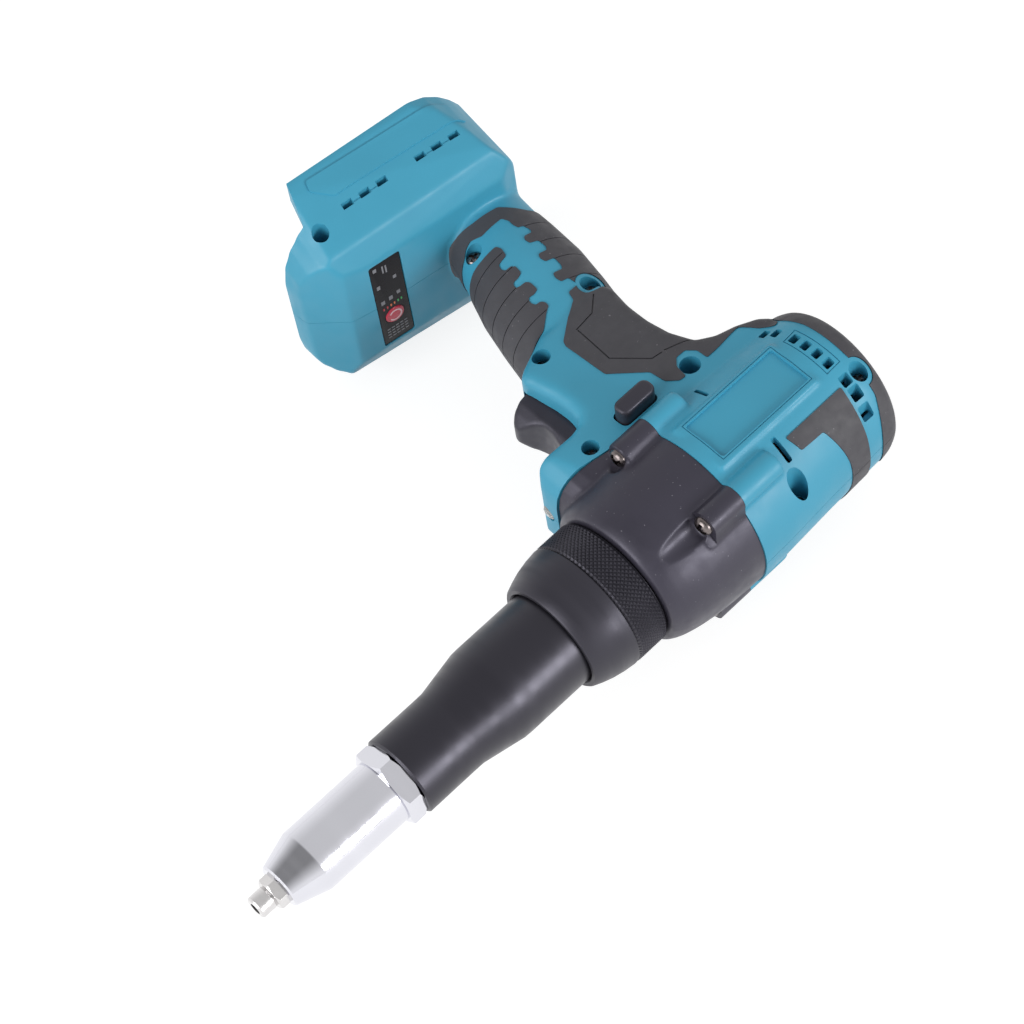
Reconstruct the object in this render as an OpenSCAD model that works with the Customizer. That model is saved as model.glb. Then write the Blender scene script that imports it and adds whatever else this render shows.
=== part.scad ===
// Battery rivet tool without its battery: a pulling nose on a planetary gear case, a brushless
// motor above a slanted pistol grip, and a foot that takes a slide-on battery pack.
// The origin is the mouth of the nosepiece bore. X runs out of the nose, Y from the foot up to
// the motor, and Z out of the tool's right side, so the tool lies on its left side.

/* [Nosepiece] */
// Diameter of the nosepiece tip
tip_d = 6.8; // [6:0.1:8]
// Length of the nosepiece tip
tip_l = 5.1; // [4:0.1:8]
// Bore for the rivet's mandrel
mandrel_d = 3.4; // [2.4:0.1:3.8]
// Width across the flats of the nosepiece hexagon
np_hex_af = 8.8; // [8.2:0.1:10]
// Thickness of the nosepiece hexagon
np_hex_t = 3.2; // [2.5:0.1:5]
// Diameter of the nosepiece thread
np_thread_d = 7; // [6:0.1:8]

/* [Nose sleeve] */
// Diameter of the cone's small end
cone_d = 13.4; // [12:0.1:15]
// Length of the cone
cone_l = 10.2; // [8:0.1:14]
// Diameter of the sleeve
sleeve_d = 19.6; // [19:0.1:20.4]
// Length of the sleeve between the cone and the hexagon
sleeve_l = 27.8; // [26:0.1:34]
// Bore of the sleeve
sleeve_bore_d = 14.6; // [14:0.1:15.2]
// Width across the flats of the sleeve hexagon
flange_af = 21; // [20.6:0.1:22]
// Thickness of the sleeve hexagon
flange_t = 5.6; // [4:0.1:8]
// Length of the sleeve's spigot inside the barrel
spigot_l = 12; // [9:0.5:14]

/* [Barrel] */
// Diameter of the barrel's front part
barrel_front_d = 24.8; // [24:0.1:26]
// Length of the barrel's front part
barrel_front_l = 19.1; // [17:0.1:24]
// Length of the taper between the two barrel parts
taper_l = 15.3; // [12:0.1:20]
// Diameter of the barrel's rear part
barrel_rear_d = 30; // [29:0.1:31]
// Visible length of the barrel's rear part
barrel_rear_l = 22.7; // [20:0.1:28]
// Width of the union collar's front edge round the barrel
collar_edge_w = 2.4; // [2:0.1:3]
// Length of the union collar in front of its knurl
collar_cone_l = 15.4; // [14:0.1:18]
// Height of the knurl above the collar's front edge
knurl_rise = 3.1; // [2.6:0.1:3.6]
// Length of the knurl
knurl_l = 9.3; // [8:0.1:12]

/* [Gear case] */
// Outer diameter of the gear case
case_d = 54.2; // [53.6:0.1:56]
// Length of the gear case behind the collar
case_l = 31.4; // [31:0.1:34]
// Distance of each case screw outside the gear case's surface
case_screw_out = 0.37; // [0:0.01:0.8]
// Angle of each case screw above or below the motor's middle plane
case_screw_angle = 35.4; // [34:0.1:37]
// Length of the case's screw bosses
boss_l = 11.5; // [9:0.1:13]

/* [Gears] */
// Gear module
gear_m = 0.75; // [0.72:0.01:0.76]
// Teeth of each sun wheel
sun_teeth = 12; // [12:12:12]
// Teeth of each planet wheel
planet_teeth = 18; // [18:18:18]
// Face width of the planet wheels
gear_w = 6.6; // [6:0.1:6.8]
// Free play between meshing flanks
backlash = 0.16; // [0.12:0.01:0.2]

/* [Motor housing] */
// Outer diameter of the motor housing
motor_d = 55.4; // [55:0.1:57]
// Length of the motor housing behind the gear case
motor_l = 53; // [52:0.5:58]
// Wall thickness of the housing
wall = 2.6; // [2.4:0.1:2.8]
// Diameter of the motor's stator
stator_d = 43; // [42:0.1:43.4]
// Length of the motor's stator
stator_l = 19; // [16:0.5:19.5]

/* [Handle] */
// Backward lean of the handle
handle_lean = 11.6; // [9:0.1:14]
// Depth of the handle core from front to back
handle_depth = 31; // [30:0.5:34]
// Thickness of the handle core from side to side
handle_thick = 29.2; // [28:0.2:32]
// Thickness of the soft grip over the core
grip_t = 1.3; // [0.8:0.1:1.8]
// Pitch of the teeth along the grip's edges
grip_pitch = 9; // [8:0.1:10]

/* [Controls] */
// Width of the trigger
trigger_w = 18; // [14:0.5:18.4]
// Travel of the trigger
trigger_travel = 7; // [4:0.5:7.5]
// Length of the direction lever's button
lever_l = 14; // [11:0.5:14.5]
// Height of the direction lever's button
lever_h = 5.4; // [4.6:0.1:5.6]
// Travel of the direction lever
lever_travel = 8; // [5:0.5:8]
// Diameter of the power button
button_d = 6.4; // [5:0.1:8]
// Travel of the power button
button_travel = 0.5; // [0.3:0.1:0.6]

/* [Foot] */
// Width of the foot
foot_w = 79; // [77:0.5:82]
// Slope of the foot against the barrel
foot_tilt = 8.5; // [6:0.1:10]
// Height of the foot from its skirt to its top
foot_h = 25; // [24:0.5:27]
// Width of the bay for the battery pack
bay_w = 63; // [60:0.5:65]
// Length of the membrane panel
panel_l = 39; // [36:0.5:41]
// Width of the membrane panel
panel_w = 10.6; // [9:0.1:11]

/* [Pulling mechanism] */
// Stroke of the jaws
stroke = 20; // [12:0.5:20]
// Diameter of the pulling screw
screw_d = 8; // [6:0.1:8.4]
// Slope of the jaw cone
jaw_slope = 12; // [10:0.5:13]

/* [Hidden] */
$fn = 48;
// Overrun of a cut, running clearance on a radius, and the gap left between loose parts
cut = 1;
run = 0.05;
gap = 0.5;

// Stations along the barrel, counted back from the tip
x_np_hex = -tip_l;
x_cone = x_np_hex - np_hex_t;
x_sleeve = x_cone - cone_l;
x_flange = x_sleeve - sleeve_l;
x_barrel = x_flange - flange_t;
x_taper = x_barrel - barrel_front_l;
x_rear = x_taper - taper_l;
x_collar = x_rear - barrel_rear_l;
x_knurl = x_collar - collar_cone_l;
x_case = x_knurl - knurl_l - gap;
x_motor = x_case - case_l;
x_back = x_motor - motor_l;

// Nose sizes
np_thread_l = 12;
cone_wall_l = 6;
spigot_d = 17;
jaw_case_play = 0.6;
jaw_case_d = sleeve_bore_d - 2 * jaw_case_play;
jaw_case_x = x_cone - np_thread_l - gap;
jaw_mouth_r = 3.2;
jaw_l = 9;
jaw_arc = 84;
jaw_open_r = 1.95;
jaw_play = 0.12;
jaw_shift = 0.9;
jaw_bore_r = jaw_mouth_r + (jaw_l + 2 * gap) * tan(jaw_slope);
jaw_x = jaw_case_x - gap - jaw_shift;
pusher_l = 8;
pusher_x = jaw_x - jaw_l;
pusher_play = 0.1;
pusher_r = jaw_bore_r - pusher_play;
rod_r = jaw_bore_r;
rod_overlap_l = 7;
rod_bore_r = screw_d / 2 + gap;
rod_bore_rest = 4;
rod_wall_l = 8.6;
spring_wire = 0.8;
screw_over = 2;

// Barrel and collar sizes
barrel_bore_r = 8.5;
chamber_r = 12.2;
barrel_flange_l = 8;
collar_lip_l = 3.6;
collar_play = 0.3;
collar_wall = 2.7;
collar_full_l = 5.6;
collar_front_d = barrel_rear_d + 2 * collar_edge_w;
knurl_d = collar_front_d + 2 * knurl_rise;
barrel_flange_d = knurl_d - 2 * (collar_wall + collar_play);
collar_bore_d = barrel_flange_d + 2 * collar_play;
neck_d = collar_bore_d - 2 * run;
x_neck = x_collar - collar_lip_l - barrel_flange_l;
nut_l = 12;
nut_r = chamber_r - gap;
nut_stop = 2.2;
x_nut = x_neck + nut_stop + stroke;
key_r = 1.5;
key_reach = 0.9;
chamber_rest = 4;
chamber_l = stroke + nut_l + chamber_rest;
x_rod = x_nut + nut_l + stroke + rod_bore_rest + rod_wall_l;
jaw_case_l = jaw_case_x - x_rod + rod_overlap_l;

// Gear sizes
ring_teeth = 2 * planet_teeth + sun_teeth;
wheel_angle = 120;
mesh_r = gear_m * (sun_teeth + planet_teeth) / 2;
rim_modules = 8;
ring_od = gear_m * (ring_teeth + rim_modules);
addendum_share = 0.9;
dedendum_share = 1.2;
pressure = 25;
plate_t = 4;
plate_rim = 4.2;
plate_r = mesh_r + plate_rim;
pin_r = 2.4;
x_stage_1 = x_motor + 2 * gap;
x_plate_1 = x_stage_1 + gear_w + gap;
x_stage_2 = x_plate_1 + plate_t + gap;
x_plate_2 = x_stage_2 + gear_w + gap;
x_bearing = x_plate_2 + plate_t + gap;
ring_l = x_plate_2 - x_motor;
bearing_w = 7.6;
bearing_od = 22;
spindle_r = 6;

// Gear case sizes
cross_share = 0.6;
cross_w = 0.9;
case_front_drop = 4.1;
case_front_d = case_d - 2 * case_front_drop;
case_round_l = 9;
boss_r = 4.3;
screw_r = 1.9;
screw_head_r = 2.9;
screw_head_t = 2;
case_screw_l = 20;
case_screw_r = case_d / 2 + case_screw_out;
case_screw_y = case_screw_r * sin(case_screw_angle);
case_screw_z = case_screw_r * cos(case_screw_angle);
lever_notch_l = 8.5;
lever_notch_y = 18.2;
case_flat_y = 24.2;

// Motor sizes
shaft_r = 3;
stator_set = 21.3;
plate_w = 4.6;
motor_bearing_r = 8;
motor_bearing_w = 4.6;
x_stator = x_motor - stator_l - stator_set;
tooth_n = 6;
tooth_w = 5.4;
yoke_t = 3.6;
air_gap = 0.5;
rotor_share = 0.285;
rotor_r = stator_d * rotor_share;
winding_t = 3.2;
winding_share = 0.55;
winding_l = 3.6;
winding_in = 1.2;
fan_r = 18.5;
fan_t = 1.2;
fan_blade_l = 3;
fan_hub_r = 6;
fan_blades = 9;
x_fan = x_stator + stator_l + winding_l + 2 * gap;
x_rear_bearing = x_back + wall;
rear_bearing_r = 7.5;
rear_bearing_w = 4;
hall_r = 19.5;
hall_t = 1.4;
hall_x = x_stator - winding_l - gap - hall_t;

// Bumper and accent sizes
bumper_t = 0.6;
bumper_l = 1.2;
bumper_back = 3;
bumper_hole_r = 17;
seat_step = 1.6;
rear_seat_r = motor_d / 2 - seat_step;
accent_t = 0.7;
accent_set = 84.7;
accent_x = x_knurl - accent_set;
accent_y = 14;
accent_l = 21;
accent_w = 4;
accent_leg = 7;
plate_set = 80;
plate_x = x_knurl - plate_set;
plate_l = 33;
plate_h = 14;
plate_deep = 1.2;
vent_set = 88;
vent_x = x_knurl - vent_set;
vent_l = 3.4;
vent_w = 2.6;
vent_angles = [38, 51, 61, 74, 82, 90, 98, 113, 120];
rib_w = 1.6;

// Frames of the foot and the handle: the middle of the skirt's lower edge, and the middle of the
// handle's top; sizes ending in _set run back from the knurl's front, _drop down from the barrel
foot_set = 46;
foot_drop = 137.4;
foot_at = [x_knurl - foot_set, -foot_drop];
handle_set = 52.9;
handle_drop = 40;
handle_top = [x_knurl - handle_set, -handle_drop];
handle_sink = 4.1;
handle_l = (foot_drop - handle_drop - foot_h) / cos(handle_lean) + handle_sink;
grip_rest = 5;
grip_end = handle_l - grip_rest;
grip_top = 31;
grip_teeth = 4;
finger_teeth = 3;
tooth_mid = 2;
tooth_depth = 4;
tooth_share = 0.5;
finger_share = 0.3;
neck_front_set = 38;
neck_front = x_knurl - neck_front_set;
neck_rear_set = 69;
neck_rear = x_knurl - neck_rear_set;
neck_bend_y = -46;
neck_sweep = 9;
neck_half_top = 21;
neck_half_low = 14.6;
neck_y_top = -14;
neck_y_low = -68;
chin_set = 11.5;
chin_x = x_knurl - chin_set;
chin_y = -36.5;
chin_round = 6;
chin_bow_u = 12;
chin_bow_shares = [[0, 0.38], [0.33, 0.74], [1, 1]];
trigger_y_top = -38.4;
trigger_y_low = -57.3;
trigger_front_set = 25.5;
trigger_front = x_knurl - trigger_front_set;
trigger_back_set = 43;
trigger_back = x_knurl - trigger_back_set;
trigger_stem_h = 7;
trigger_stem_w = 8;
trigger_play = 0.4;
switch_l = 14;
switch_w = 16;
pad_l = 7;
lever_set = 42;
lever_x = x_knurl - lever_set;
lever_y = -23.4;
lever_top = 28;
lever_low = lever_travel - lever_top;
lever_web_l = 3;
lever_web_h = 3.6;
led_y = -28.5;
led_r = 2.4;
led_l = 5;
lever_button_l = 9;
trigger_lip = 6;

// Foot sizes, in its own frame
foot_front = 35;
foot_rear = -41;
skirt_front = 22;
lip_v = 8;
brow_u = 4;
brow_v = 18.5;
crown_u = 12.4;
skirt_h = 12;
slope_v = 16;
slope_z = 1.5;
crown_z = 18.5;
nose_u = 4;
nose_z = 20;
cheek_u = 15.5;
cheek_z = 11;
heel_u = 20;
heel_z = 9;
heel_shares = [[1, 0], [0.45, 0.5], [0.12, 1.4], [0, 2.6]];
bay_rear = foot_rear + heel_u / 2;
bay_h = 10;
deck_t = 2;
rail_t = 2.5;
rail_v = 2.6;
rail_h = 2.6;
panel_u = 9.8;
panel_t = 0.7;
button_z = -7.5;
button_neck_r = 1.8;
board_t = 1.6;
terminal_u = -4;
terminal_w = 30;
blade_l = 12;
board_u = 16;
board_share = 0.8;
board_foot = 2;
button_rise = 0.3;
button_pocket = 1.2;
slot_u = 13.4;
slot_v = 14.5;
slot_pitch = 6.5;
slot_group = 27.2;
slot_l = 3.4;
slot_h = 1.5;
slot_deep = 6;
terminal_l = 26;
terminal_h = 7;
blade_t = 0.9;
blade_h = 5;

// Housing screws: the place of each from the knurl's front edge on the barrel line, then the height
// of its head's seat and of the outer wall above the seam; the rear one goes with the rear wall
screw_d_housing = 3;
screw_head_h = 2.1;
screw_head_d = 5.8;
screw_reach = 9;
screws_from_knurl = [[-55, -100.5, 6, 11], [-68.2, -67, 7, 11.5], [-42.6, -60.8, 12, 14],
    [-29.4, -27.2, 9, 19], [-66, -24.6, 12, 18.5], [-58.1, 23.4, 9, 14.5], [-19.9, -123.2, 12, 33]];
rear_screw = [2.8, 14.6, 15, 23];
housing_screws_at = concat([for (p = screws_from_knurl) [x_knurl + p[0], p[1], p[2], p[3]]],
    [[x_back + rear_screw[0], rear_screw[1], rear_screw[2], rear_screw[3]]]);
pillar_r = 2.6;
cup_r = 4.2;

// A round bar along X
module rod_x(x0, x1, r) {
    translate([x0, 0, 0]) rotate([0, 90, 0]) cylinder(h = x1 - x0, r = r);
}

// A tube along X
module tube_x(x0, x1, ro, ri) {
    difference() {
        rod_x(x0, x1, ro);
        rod_x(x0 - cut, x1 + cut, ri);
    }
}

// A body turned about X from points given as [x, radius]
module turned(points) {
    rotate([90, 0, 90]) rotate_extrude() polygon([for (p = points) [p[1], p[0]]]);
}

// An outline across the X axis, carried from x0 to x1
module prism_x(x0, x1) {
    translate([x0, 0, 0]) rotate([90, 0, 90]) linear_extrude(x1 - x0) children();
}

// A side outline carried through the tool's thickness
module slab(points, half) {
    translate([0, 0, -half]) linear_extrude(2 * half) polygon(points);
}

// A box given by two corners
module box(low, high) {
    translate(low) cube(high - low);
}

// A six-sided prism along X with the given width across flats
module hex_x(x0, x1, af) {
    translate([x0, 0, 0]) rotate([0, 90, 0]) rotate([0, 0, 30])
        cylinder(h = x1 - x0, d = af / cos(30), $fn = 6);
}

// Keeps the right side (+1) or the left side (-1) of the seam
module side(s) {
    reach = -2 * x_back;
    intersection() {
        children();
        translate([x_back / 2, 0, s * reach / 2]) cube([reach * 2, reach * 2, reach], center = true);
    }
}

// Half the angle that an involute tooth spans at radius r
function inv(a) = tan(a) * 180 / PI - a;
function tooth_half(n, r, play) =
    let (rp = gear_m * n / 2, rb = rp * cos(pressure))
    90 / n - play / rp * 90 / PI + inv(pressure) - inv(acos(min(1, rb / max(r, rb))));
function polar(r, a) = [r * cos(a), r * sin(a)];

// Outline of a wheel with n teeth between root and tip radii
function wheel(n, root, tip, play) =
    let (rp = gear_m * n / 2, steps = [root, rp, tip])
    [for (i = [0:n - 1]) for (s = [-1, 1]) for (k = [0:2])
        let (r = steps[s < 0 ? k : 2 - k])
        polar(r, i * 360 / n + s * tooth_half(n, r, play))];
function pitch_r(n) = gear_m * n / 2;

module spur(n, play) {
    polygon(wheel(n, pitch_r(n) - dedendum_share * gear_m, pitch_r(n) + addendum_share * gear_m, play));
}

// Places children on one of the three planet stations
module at_planet(k) {
    rotate([k * wheel_angle, 0, 0]) translate([0, mesh_r, 0]) children();
}

module nosepiece() {
    color("silver") difference() {
        union() {
            rod_x(x_np_hex - gap, 0, tip_d / 2);
            hex_x(x_cone, x_np_hex, np_hex_af);
            rod_x(x_cone - np_thread_l, x_cone + gap, np_thread_d / 2);
        }
        rod_x(x_cone - np_thread_l - cut, cut, mandrel_d / 2);
    }
}

module nose_sleeve() {
    r = sleeve_d / 2;
    color("whitesmoke") difference() {
        union() {
            turned([[x_cone, 0], [x_cone, cone_d / 2], [x_sleeve, r], [x_flange - gap, r],
                [x_flange - gap, 0]]);
            hex_x(x_barrel, x_flange, flange_af);
            rod_x(x_barrel - spigot_l, x_barrel + gap, spigot_d / 2);
        }
        rod_x(x_barrel - spigot_l - cut, x_cone - cone_wall_l, sleeve_bore_d / 2);
        rod_x(x_barrel, x_cone + cut, np_thread_d / 2);
    }
}

module barrel() {
    rf = barrel_front_d / 2;
    rr = barrel_rear_d / 2;
    x_flange_front = x_neck + barrel_flange_l;
    color("#26252a") difference() {
        turned([[x_barrel, 0], [x_barrel, rf], [x_taper, rf], [x_rear, rr], [x_flange_front, rr],
            [x_flange_front, barrel_flange_d / 2], [x_neck, barrel_flange_d / 2], [x_neck, 0]]);
        rod_x(x_neck - cut, x_barrel + cut, barrel_bore_r);
        rod_x(x_neck - cut, x_neck + chamber_l, chamber_r);
        for (s = [-1, 1]) {
            box([x_neck - cut, s * chamber_r - key_reach - run, -key_r - run],
                [x_neck + chamber_l, s * chamber_r + key_reach + run, key_r + run]);
        }
    }
}

module collar() {
    x_back_face = x_knurl - knurl_l;
    color("#1f1e22") difference() {
        turned([[x_collar, 0], [x_collar, collar_front_d / 2], [x_knurl + collar_full_l, knurl_d / 2],
            [x_back_face, knurl_d / 2], [x_back_face, 0]]);
        rod_x(x_collar - collar_lip_l, x_collar + cut, barrel_rear_d / 2 + gap);
        rod_x(x_back_face - cut, x_collar - collar_lip_l, collar_bore_d / 2);
    }
}

// The four case screws' places
module at_case_screws() {
    for (sy = [-1, 1], sz = [-1, 1]) translate([0, sy * case_screw_y, sz * case_screw_z]) children();
}

module gear_case() {
    r = case_d / 2;
    x_boss = x_motor + boss_l;
    color("#3e3d44") difference() {
        union() {
            turned([[x_neck, 0], [x_neck, neck_d / 2], [x_case, neck_d / 2], [x_case, case_front_d / 2],
                [x_case - case_round_l, r], [x_motor, r], [x_motor, 0]]);
            at_case_screws() rod_x(x_motor, x_boss, boss_r);
        }
        rod_x(x_motor - cut, x_bearing, ring_od / 2);
        rod_x(x_motor, x_bearing + bearing_w, bearing_od / 2);
        rod_x(x_motor, x_neck + cut, spindle_r + gap);
        at_case_screws() {
            rod_x(x_motor - cut, x_boss + cut, screw_r);
            rod_x(x_boss, x_case + cut, boss_r);
        }
        box([x_motor - cut, -case_d, -case_d], [x_motor + lever_notch_l, -lever_notch_y, case_d]);
        box([x_motor - cut, -case_d, -case_d], [chin_x, -case_flat_y, case_d]);
    }
}

module gear_case_screws() {
    x_head = x_motor + boss_l;
    color("#8b8386") at_case_screws() difference() {
        union() {
            rod_x(x_head, x_head + screw_head_t, screw_head_r);
            rod_x(x_head + screw_head_t - case_screw_l, x_head + gap, screw_r);
        }
        for (a = [0, 90]) rotate([a, 0, 0]) {
            box([x_head + screw_head_t / 2, -screw_head_r * cross_share, -cross_w / 2],
                [x_head + screw_head_t + cut, screw_head_r * cross_share, cross_w / 2]);
        }
    }
}

module spindle_bearing() {
    color("silver") tube_x(x_bearing, x_bearing + bearing_w, bearing_od / 2, spindle_r + run);
}

module thrust_washer() {
    color("silver") tube_x(x_plate_2 + plate_t + run, x_bearing, bearing_od / 2 - gap, spindle_r + run);
}

module ring_gear() {
    ring_root = pitch_r(ring_teeth) + dedendum_share * gear_m;
    ring_tip = pitch_r(ring_teeth) - addendum_share * gear_m;
    color("dimgray") prism_x(x_motor, x_motor + ring_l) difference() {
        circle(d = ring_od);
        rotate(180 / ring_teeth) polygon(wheel(ring_teeth, ring_tip, ring_root, -backlash));
    }
}

module motor_plate() {
    color("gray") difference() {
        tube_x(x_motor - plate_w, x_motor, motor_d / 2 - wall, motor_bearing_r);
        box([x_motor - plate_w - cut, -motor_d, -motor_d],
            [x_motor + cut, lever_y + lever_h / 2 + gap, motor_d]);
    }
}

module front_bearing() {
    color("silver") tube_x(x_motor - motor_bearing_w, x_motor, motor_bearing_r, shaft_r + run);
}

module rear_bearing() {
    color("silver") tube_x(x_rear_bearing, x_rear_bearing + rear_bearing_w, rear_bearing_r, shaft_r + run);
}

module motor_shaft() {
    color("silver") {
        rod_x(x_rear_bearing + gap, x_stage_1, shaft_r);
        prism_x(x_stage_1, x_stage_1 + gear_w) spur(sun_teeth, backlash);
    }
}

module rotor_core() {
    color("dimgray") tube_x(x_stator, x_stator + stator_l, rotor_r, shaft_r);
}

module cooling_fan() {
    color("black") difference() {
        union() {
            rod_x(x_fan, x_fan + fan_t, fan_r);
            rod_x(x_fan, x_fan + fan_t + fan_blade_l, fan_hub_r);
            for (i = [0:fan_blades - 1]) rotate([i * 360 / fan_blades, 0, 0]) {
                box([x_fan, fan_hub_r - gap, -fan_t / 2],
                    [x_fan + fan_t + fan_blade_l, fan_r - gap, fan_t / 2]);
            }
        }
        rod_x(x_fan - cut, x_fan + fan_t + fan_blade_l + cut, shaft_r);
    }
}

module stator_core() {
    bore = rotor_r + air_gap;
    color("dimgray") union() {
        tube_x(x_stator, x_stator + stator_l, stator_d / 2, stator_d / 2 - yoke_t);
        intersection() {
            tube_x(x_stator, x_stator + stator_l, stator_d / 2 - gap, bore);
            for (i = [0:tooth_n - 1]) rotate([i * 360 / tooth_n, 0, 0]) {
                box([x_stator - cut, 0, -tooth_w / 2],
                    [x_stator + stator_l + cut, stator_d / 2, tooth_w / 2]);
            }
        }
    }
}

module stator_windings() {
    low = rotor_r + air_gap + winding_in;
    high = stator_d / 2 - yoke_t - gap;
    grow = tooth_w / 2 + winding_t * winding_share;
    color("peru") for (i = [0:tooth_n - 1]) rotate([i * 360 / tooth_n, 0, 0]) difference() {
        box([x_stator - winding_l, low, -grow], [x_stator + stator_l + winding_l, high, grow]);
        box([x_stator, low - cut, -tooth_w / 2], [x_stator + stator_l, high + cut, tooth_w / 2]);
    }
}

module hall_board() {
    color("darkgreen") tube_x(hall_x, hall_x + hall_t, hall_r, shaft_r + 2 * gap);
}

// A planet wheel: a gap between teeth faces the sun and the ring
module planet(k, x) {
    color("gray") at_planet(k) prism_x(x, x + gear_w) difference() {
        rotate(180 / planet_teeth) spur(planet_teeth, backlash);
        circle(r = pin_r + run);
    }
}
module planet_1a() { planet(0, x_stage_1); }
module planet_1b() { planet(1, x_stage_1); }
module planet_1c() { planet(2, x_stage_1); }
module planet_2a() { planet(0, x_stage_2); }
module planet_2b() { planet(1, x_stage_2); }
module planet_2c() { planet(2, x_stage_2); }

// A planet carrier: a plate with three pins that reach back through the wheels
module carrier(x, x_wheels) {
    rod_x(x, x + plate_t, plate_r);
    for (k = [0:2]) at_planet(k) rod_x(x_wheels, x + gap, pin_r);
}

module carrier_1() {
    color("dimgray") {
        carrier(x_plate_1, x_stage_1);
        prism_x(x_plate_1 + plate_t, x_plate_2 - gap) spur(sun_teeth, backlash);
    }
}

module carrier_2() {
    color("dimgray") {
        carrier(x_plate_2, x_stage_2);
        rod_x(x_plate_2 + plate_t, x_neck, spindle_r);
    }
}

module pulling_screw() {
    color("silver") rod_x(x_neck, x_nut + nut_l + screw_over, screw_d / 2);
}

module drive_nut() {
    color("goldenrod") difference() {
        union() {
            rod_x(x_nut, x_nut + nut_l, nut_r);
            for (s = [-1, 1]) {
                box([x_nut + nut_l / 4, s * chamber_r - key_reach, -key_r],
                    [x_nut + nut_l * 3 / 4, s * chamber_r + key_reach, key_r]);
            }
        }
        rod_x(x_nut - cut, x_nut + nut_l + cut, screw_d / 2 + run);
    }
}

module pull_rod() {
    bore_l = stroke + rod_bore_rest;
    color("silver") difference() {
        rod_x(x_nut + nut_l, x_rod, rod_r);
        rod_x(x_nut + nut_l - cut, x_nut + nut_l + bore_l, rod_bore_r);
    }
}

module jaw_case() {
    x_cone_end = jaw_case_x - (jaw_bore_r - jaw_mouth_r) / tan(jaw_slope);
    color("gray") difference() {
        rod_x(jaw_case_x - jaw_case_l, jaw_case_x, jaw_case_d / 2);
        turned([[jaw_case_x + cut, 0], [jaw_case_x + cut, jaw_mouth_r], [jaw_case_x, jaw_mouth_r],
            [x_cone_end, jaw_bore_r], [jaw_case_x - jaw_case_l - cut, jaw_bore_r],
            [jaw_case_x - jaw_case_l - cut, 0]]);
    }
}

// One gripping jaw: a sector of a cone around the mandrel
module jaw(k) {
    r_front = jaw_mouth_r + (jaw_case_x - jaw_x) * tan(jaw_slope) - jaw_play;
    r_rear = min(jaw_bore_r, r_front + jaw_play + jaw_l * tan(jaw_slope)) - jaw_play;
    color("dimgray") rotate([90 + k * wheel_angle - jaw_arc / 2, 0, 0]) rotate([90, 0, 90])
        rotate_extrude(angle = jaw_arc)
            polygon([[jaw_open_r, jaw_x - jaw_l], [r_rear, jaw_x - jaw_l], [r_front, jaw_x],
                [jaw_open_r, jaw_x]]);
}
module jaw_a() { jaw(0); }
module jaw_b() { jaw(1); }
module jaw_c() { jaw(2); }

module jaw_pusher() {
    color("gray") tube_x(pusher_x - pusher_l, pusher_x - run, pusher_r, mandrel_d / 2 + gap);
}

// A plain sleeve that fills the coil spring's space
module jaw_spring() {
    color("silver") tube_x(x_rod, pusher_x - pusher_l, pusher_r - gap, pusher_r - gap - spring_wire);
}

// Places children in the handle's own frame: X to its front, Y up along it
module in_handle() {
    translate([handle_top[0], handle_top[1], 0]) rotate([0, 0, -handle_lean]) children();
}

// The handle's column, grown or shrunk all round
module handle_column(grow, y_low, y_high) {
    r = handle_thick / 2 + grow;
    reach = (handle_depth - handle_thick) / 2;
    in_handle() translate([0, y_high, 0]) rotate([90, 0, 0]) linear_extrude(y_high - y_low) {
        for (s = [-1, 1]) translate([s * reach, 0]) circle(r = r);
        square([2 * reach, 2 * r], center = true);
    }
}

// Side outline of the block between the motor and the handle, with the chin under the gear case
function neck_side(g) = [
    [chin_x - g, neck_y_top], [chin_x - g, chin_y + chin_round], [chin_x - chin_round, chin_y + g],
    [neck_front + chin_round, chin_y + g], [neck_front - g, trigger_y_top], [neck_front - g, neck_y_low],
    [neck_rear + g, neck_y_low], [neck_rear + g, neck_bend_y],
    [neck_rear - neck_sweep + g, chin_round - motor_d / 2],
    [neck_rear - 2 * neck_sweep + g, neck_y_top]];

// Neck block inset by g
module neck(g) {
    intersection() {
        slab(neck_side(g), motor_d);
        prism_x(x_back, 0) polygon([[neck_y_top, -neck_half_top + g], [neck_y_top, neck_half_top - g],
            [neck_y_low, neck_half_low - g], [neck_y_low, -neck_half_low + g]]);
        rotate([90, 0, 0]) linear_extrude(cut - neck_y_low) polygon(mirrored(concat(
            [for (p = chin_bow_shares) [chin_x - g - chin_bow_u * p[0], neck_half_top * p[1]]],
            [[x_back, neck_half_top]])));
    }
}

// Places children in the foot's own frame: X to the front, Y up, the skirt's edge at Y = 0
module in_foot() {
    translate([foot_at[0], foot_at[1], 0]) rotate([0, 0, -foot_tilt]) children();
}

// An outline closed by its mirror image across the seam
function mirrored(points) = concat(points,
    [for (i = [len(points) - 1:-1:0]) [points[i][0], -points[i][1]]]);

// The foot from its three outlines, inset by g
module foot_block(g, low) {
    half = foot_w / 2 - g;
    top = foot_h - g;
    front = foot_front - g;
    rear = foot_rear + g;
    in_foot() intersection() {
        slab([[front, max(low, lip_v)], [front, brow_v - lip_v], [front - brow_u, brow_v],
            [front - crown_u, top],
            [rear + lip_v, top], [rear, top - lip_v], [rear, low], [skirt_front - g, low],
            [skirt_front - g, max(low, lip_v)]], foot_w);
        prism_x(foot_rear - cut, foot_front + cut) polygon(mirrored([[low, half], [skirt_h, half],
            [slope_v, half - slope_z], [top, half - crown_z]]));
        translate([0, foot_h + cut, 0]) rotate([90, 0, 0]) linear_extrude(foot_h + 2 * cut)
            polygon(mirrored(concat([[front, half - nose_z], [front - nose_u, half - cheek_z],
                [front - cheek_u, half]],
                [for (p = heel_shares) [rear + heel_u * p[0], half - heel_z * p[1]]])));
    }
}

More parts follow.
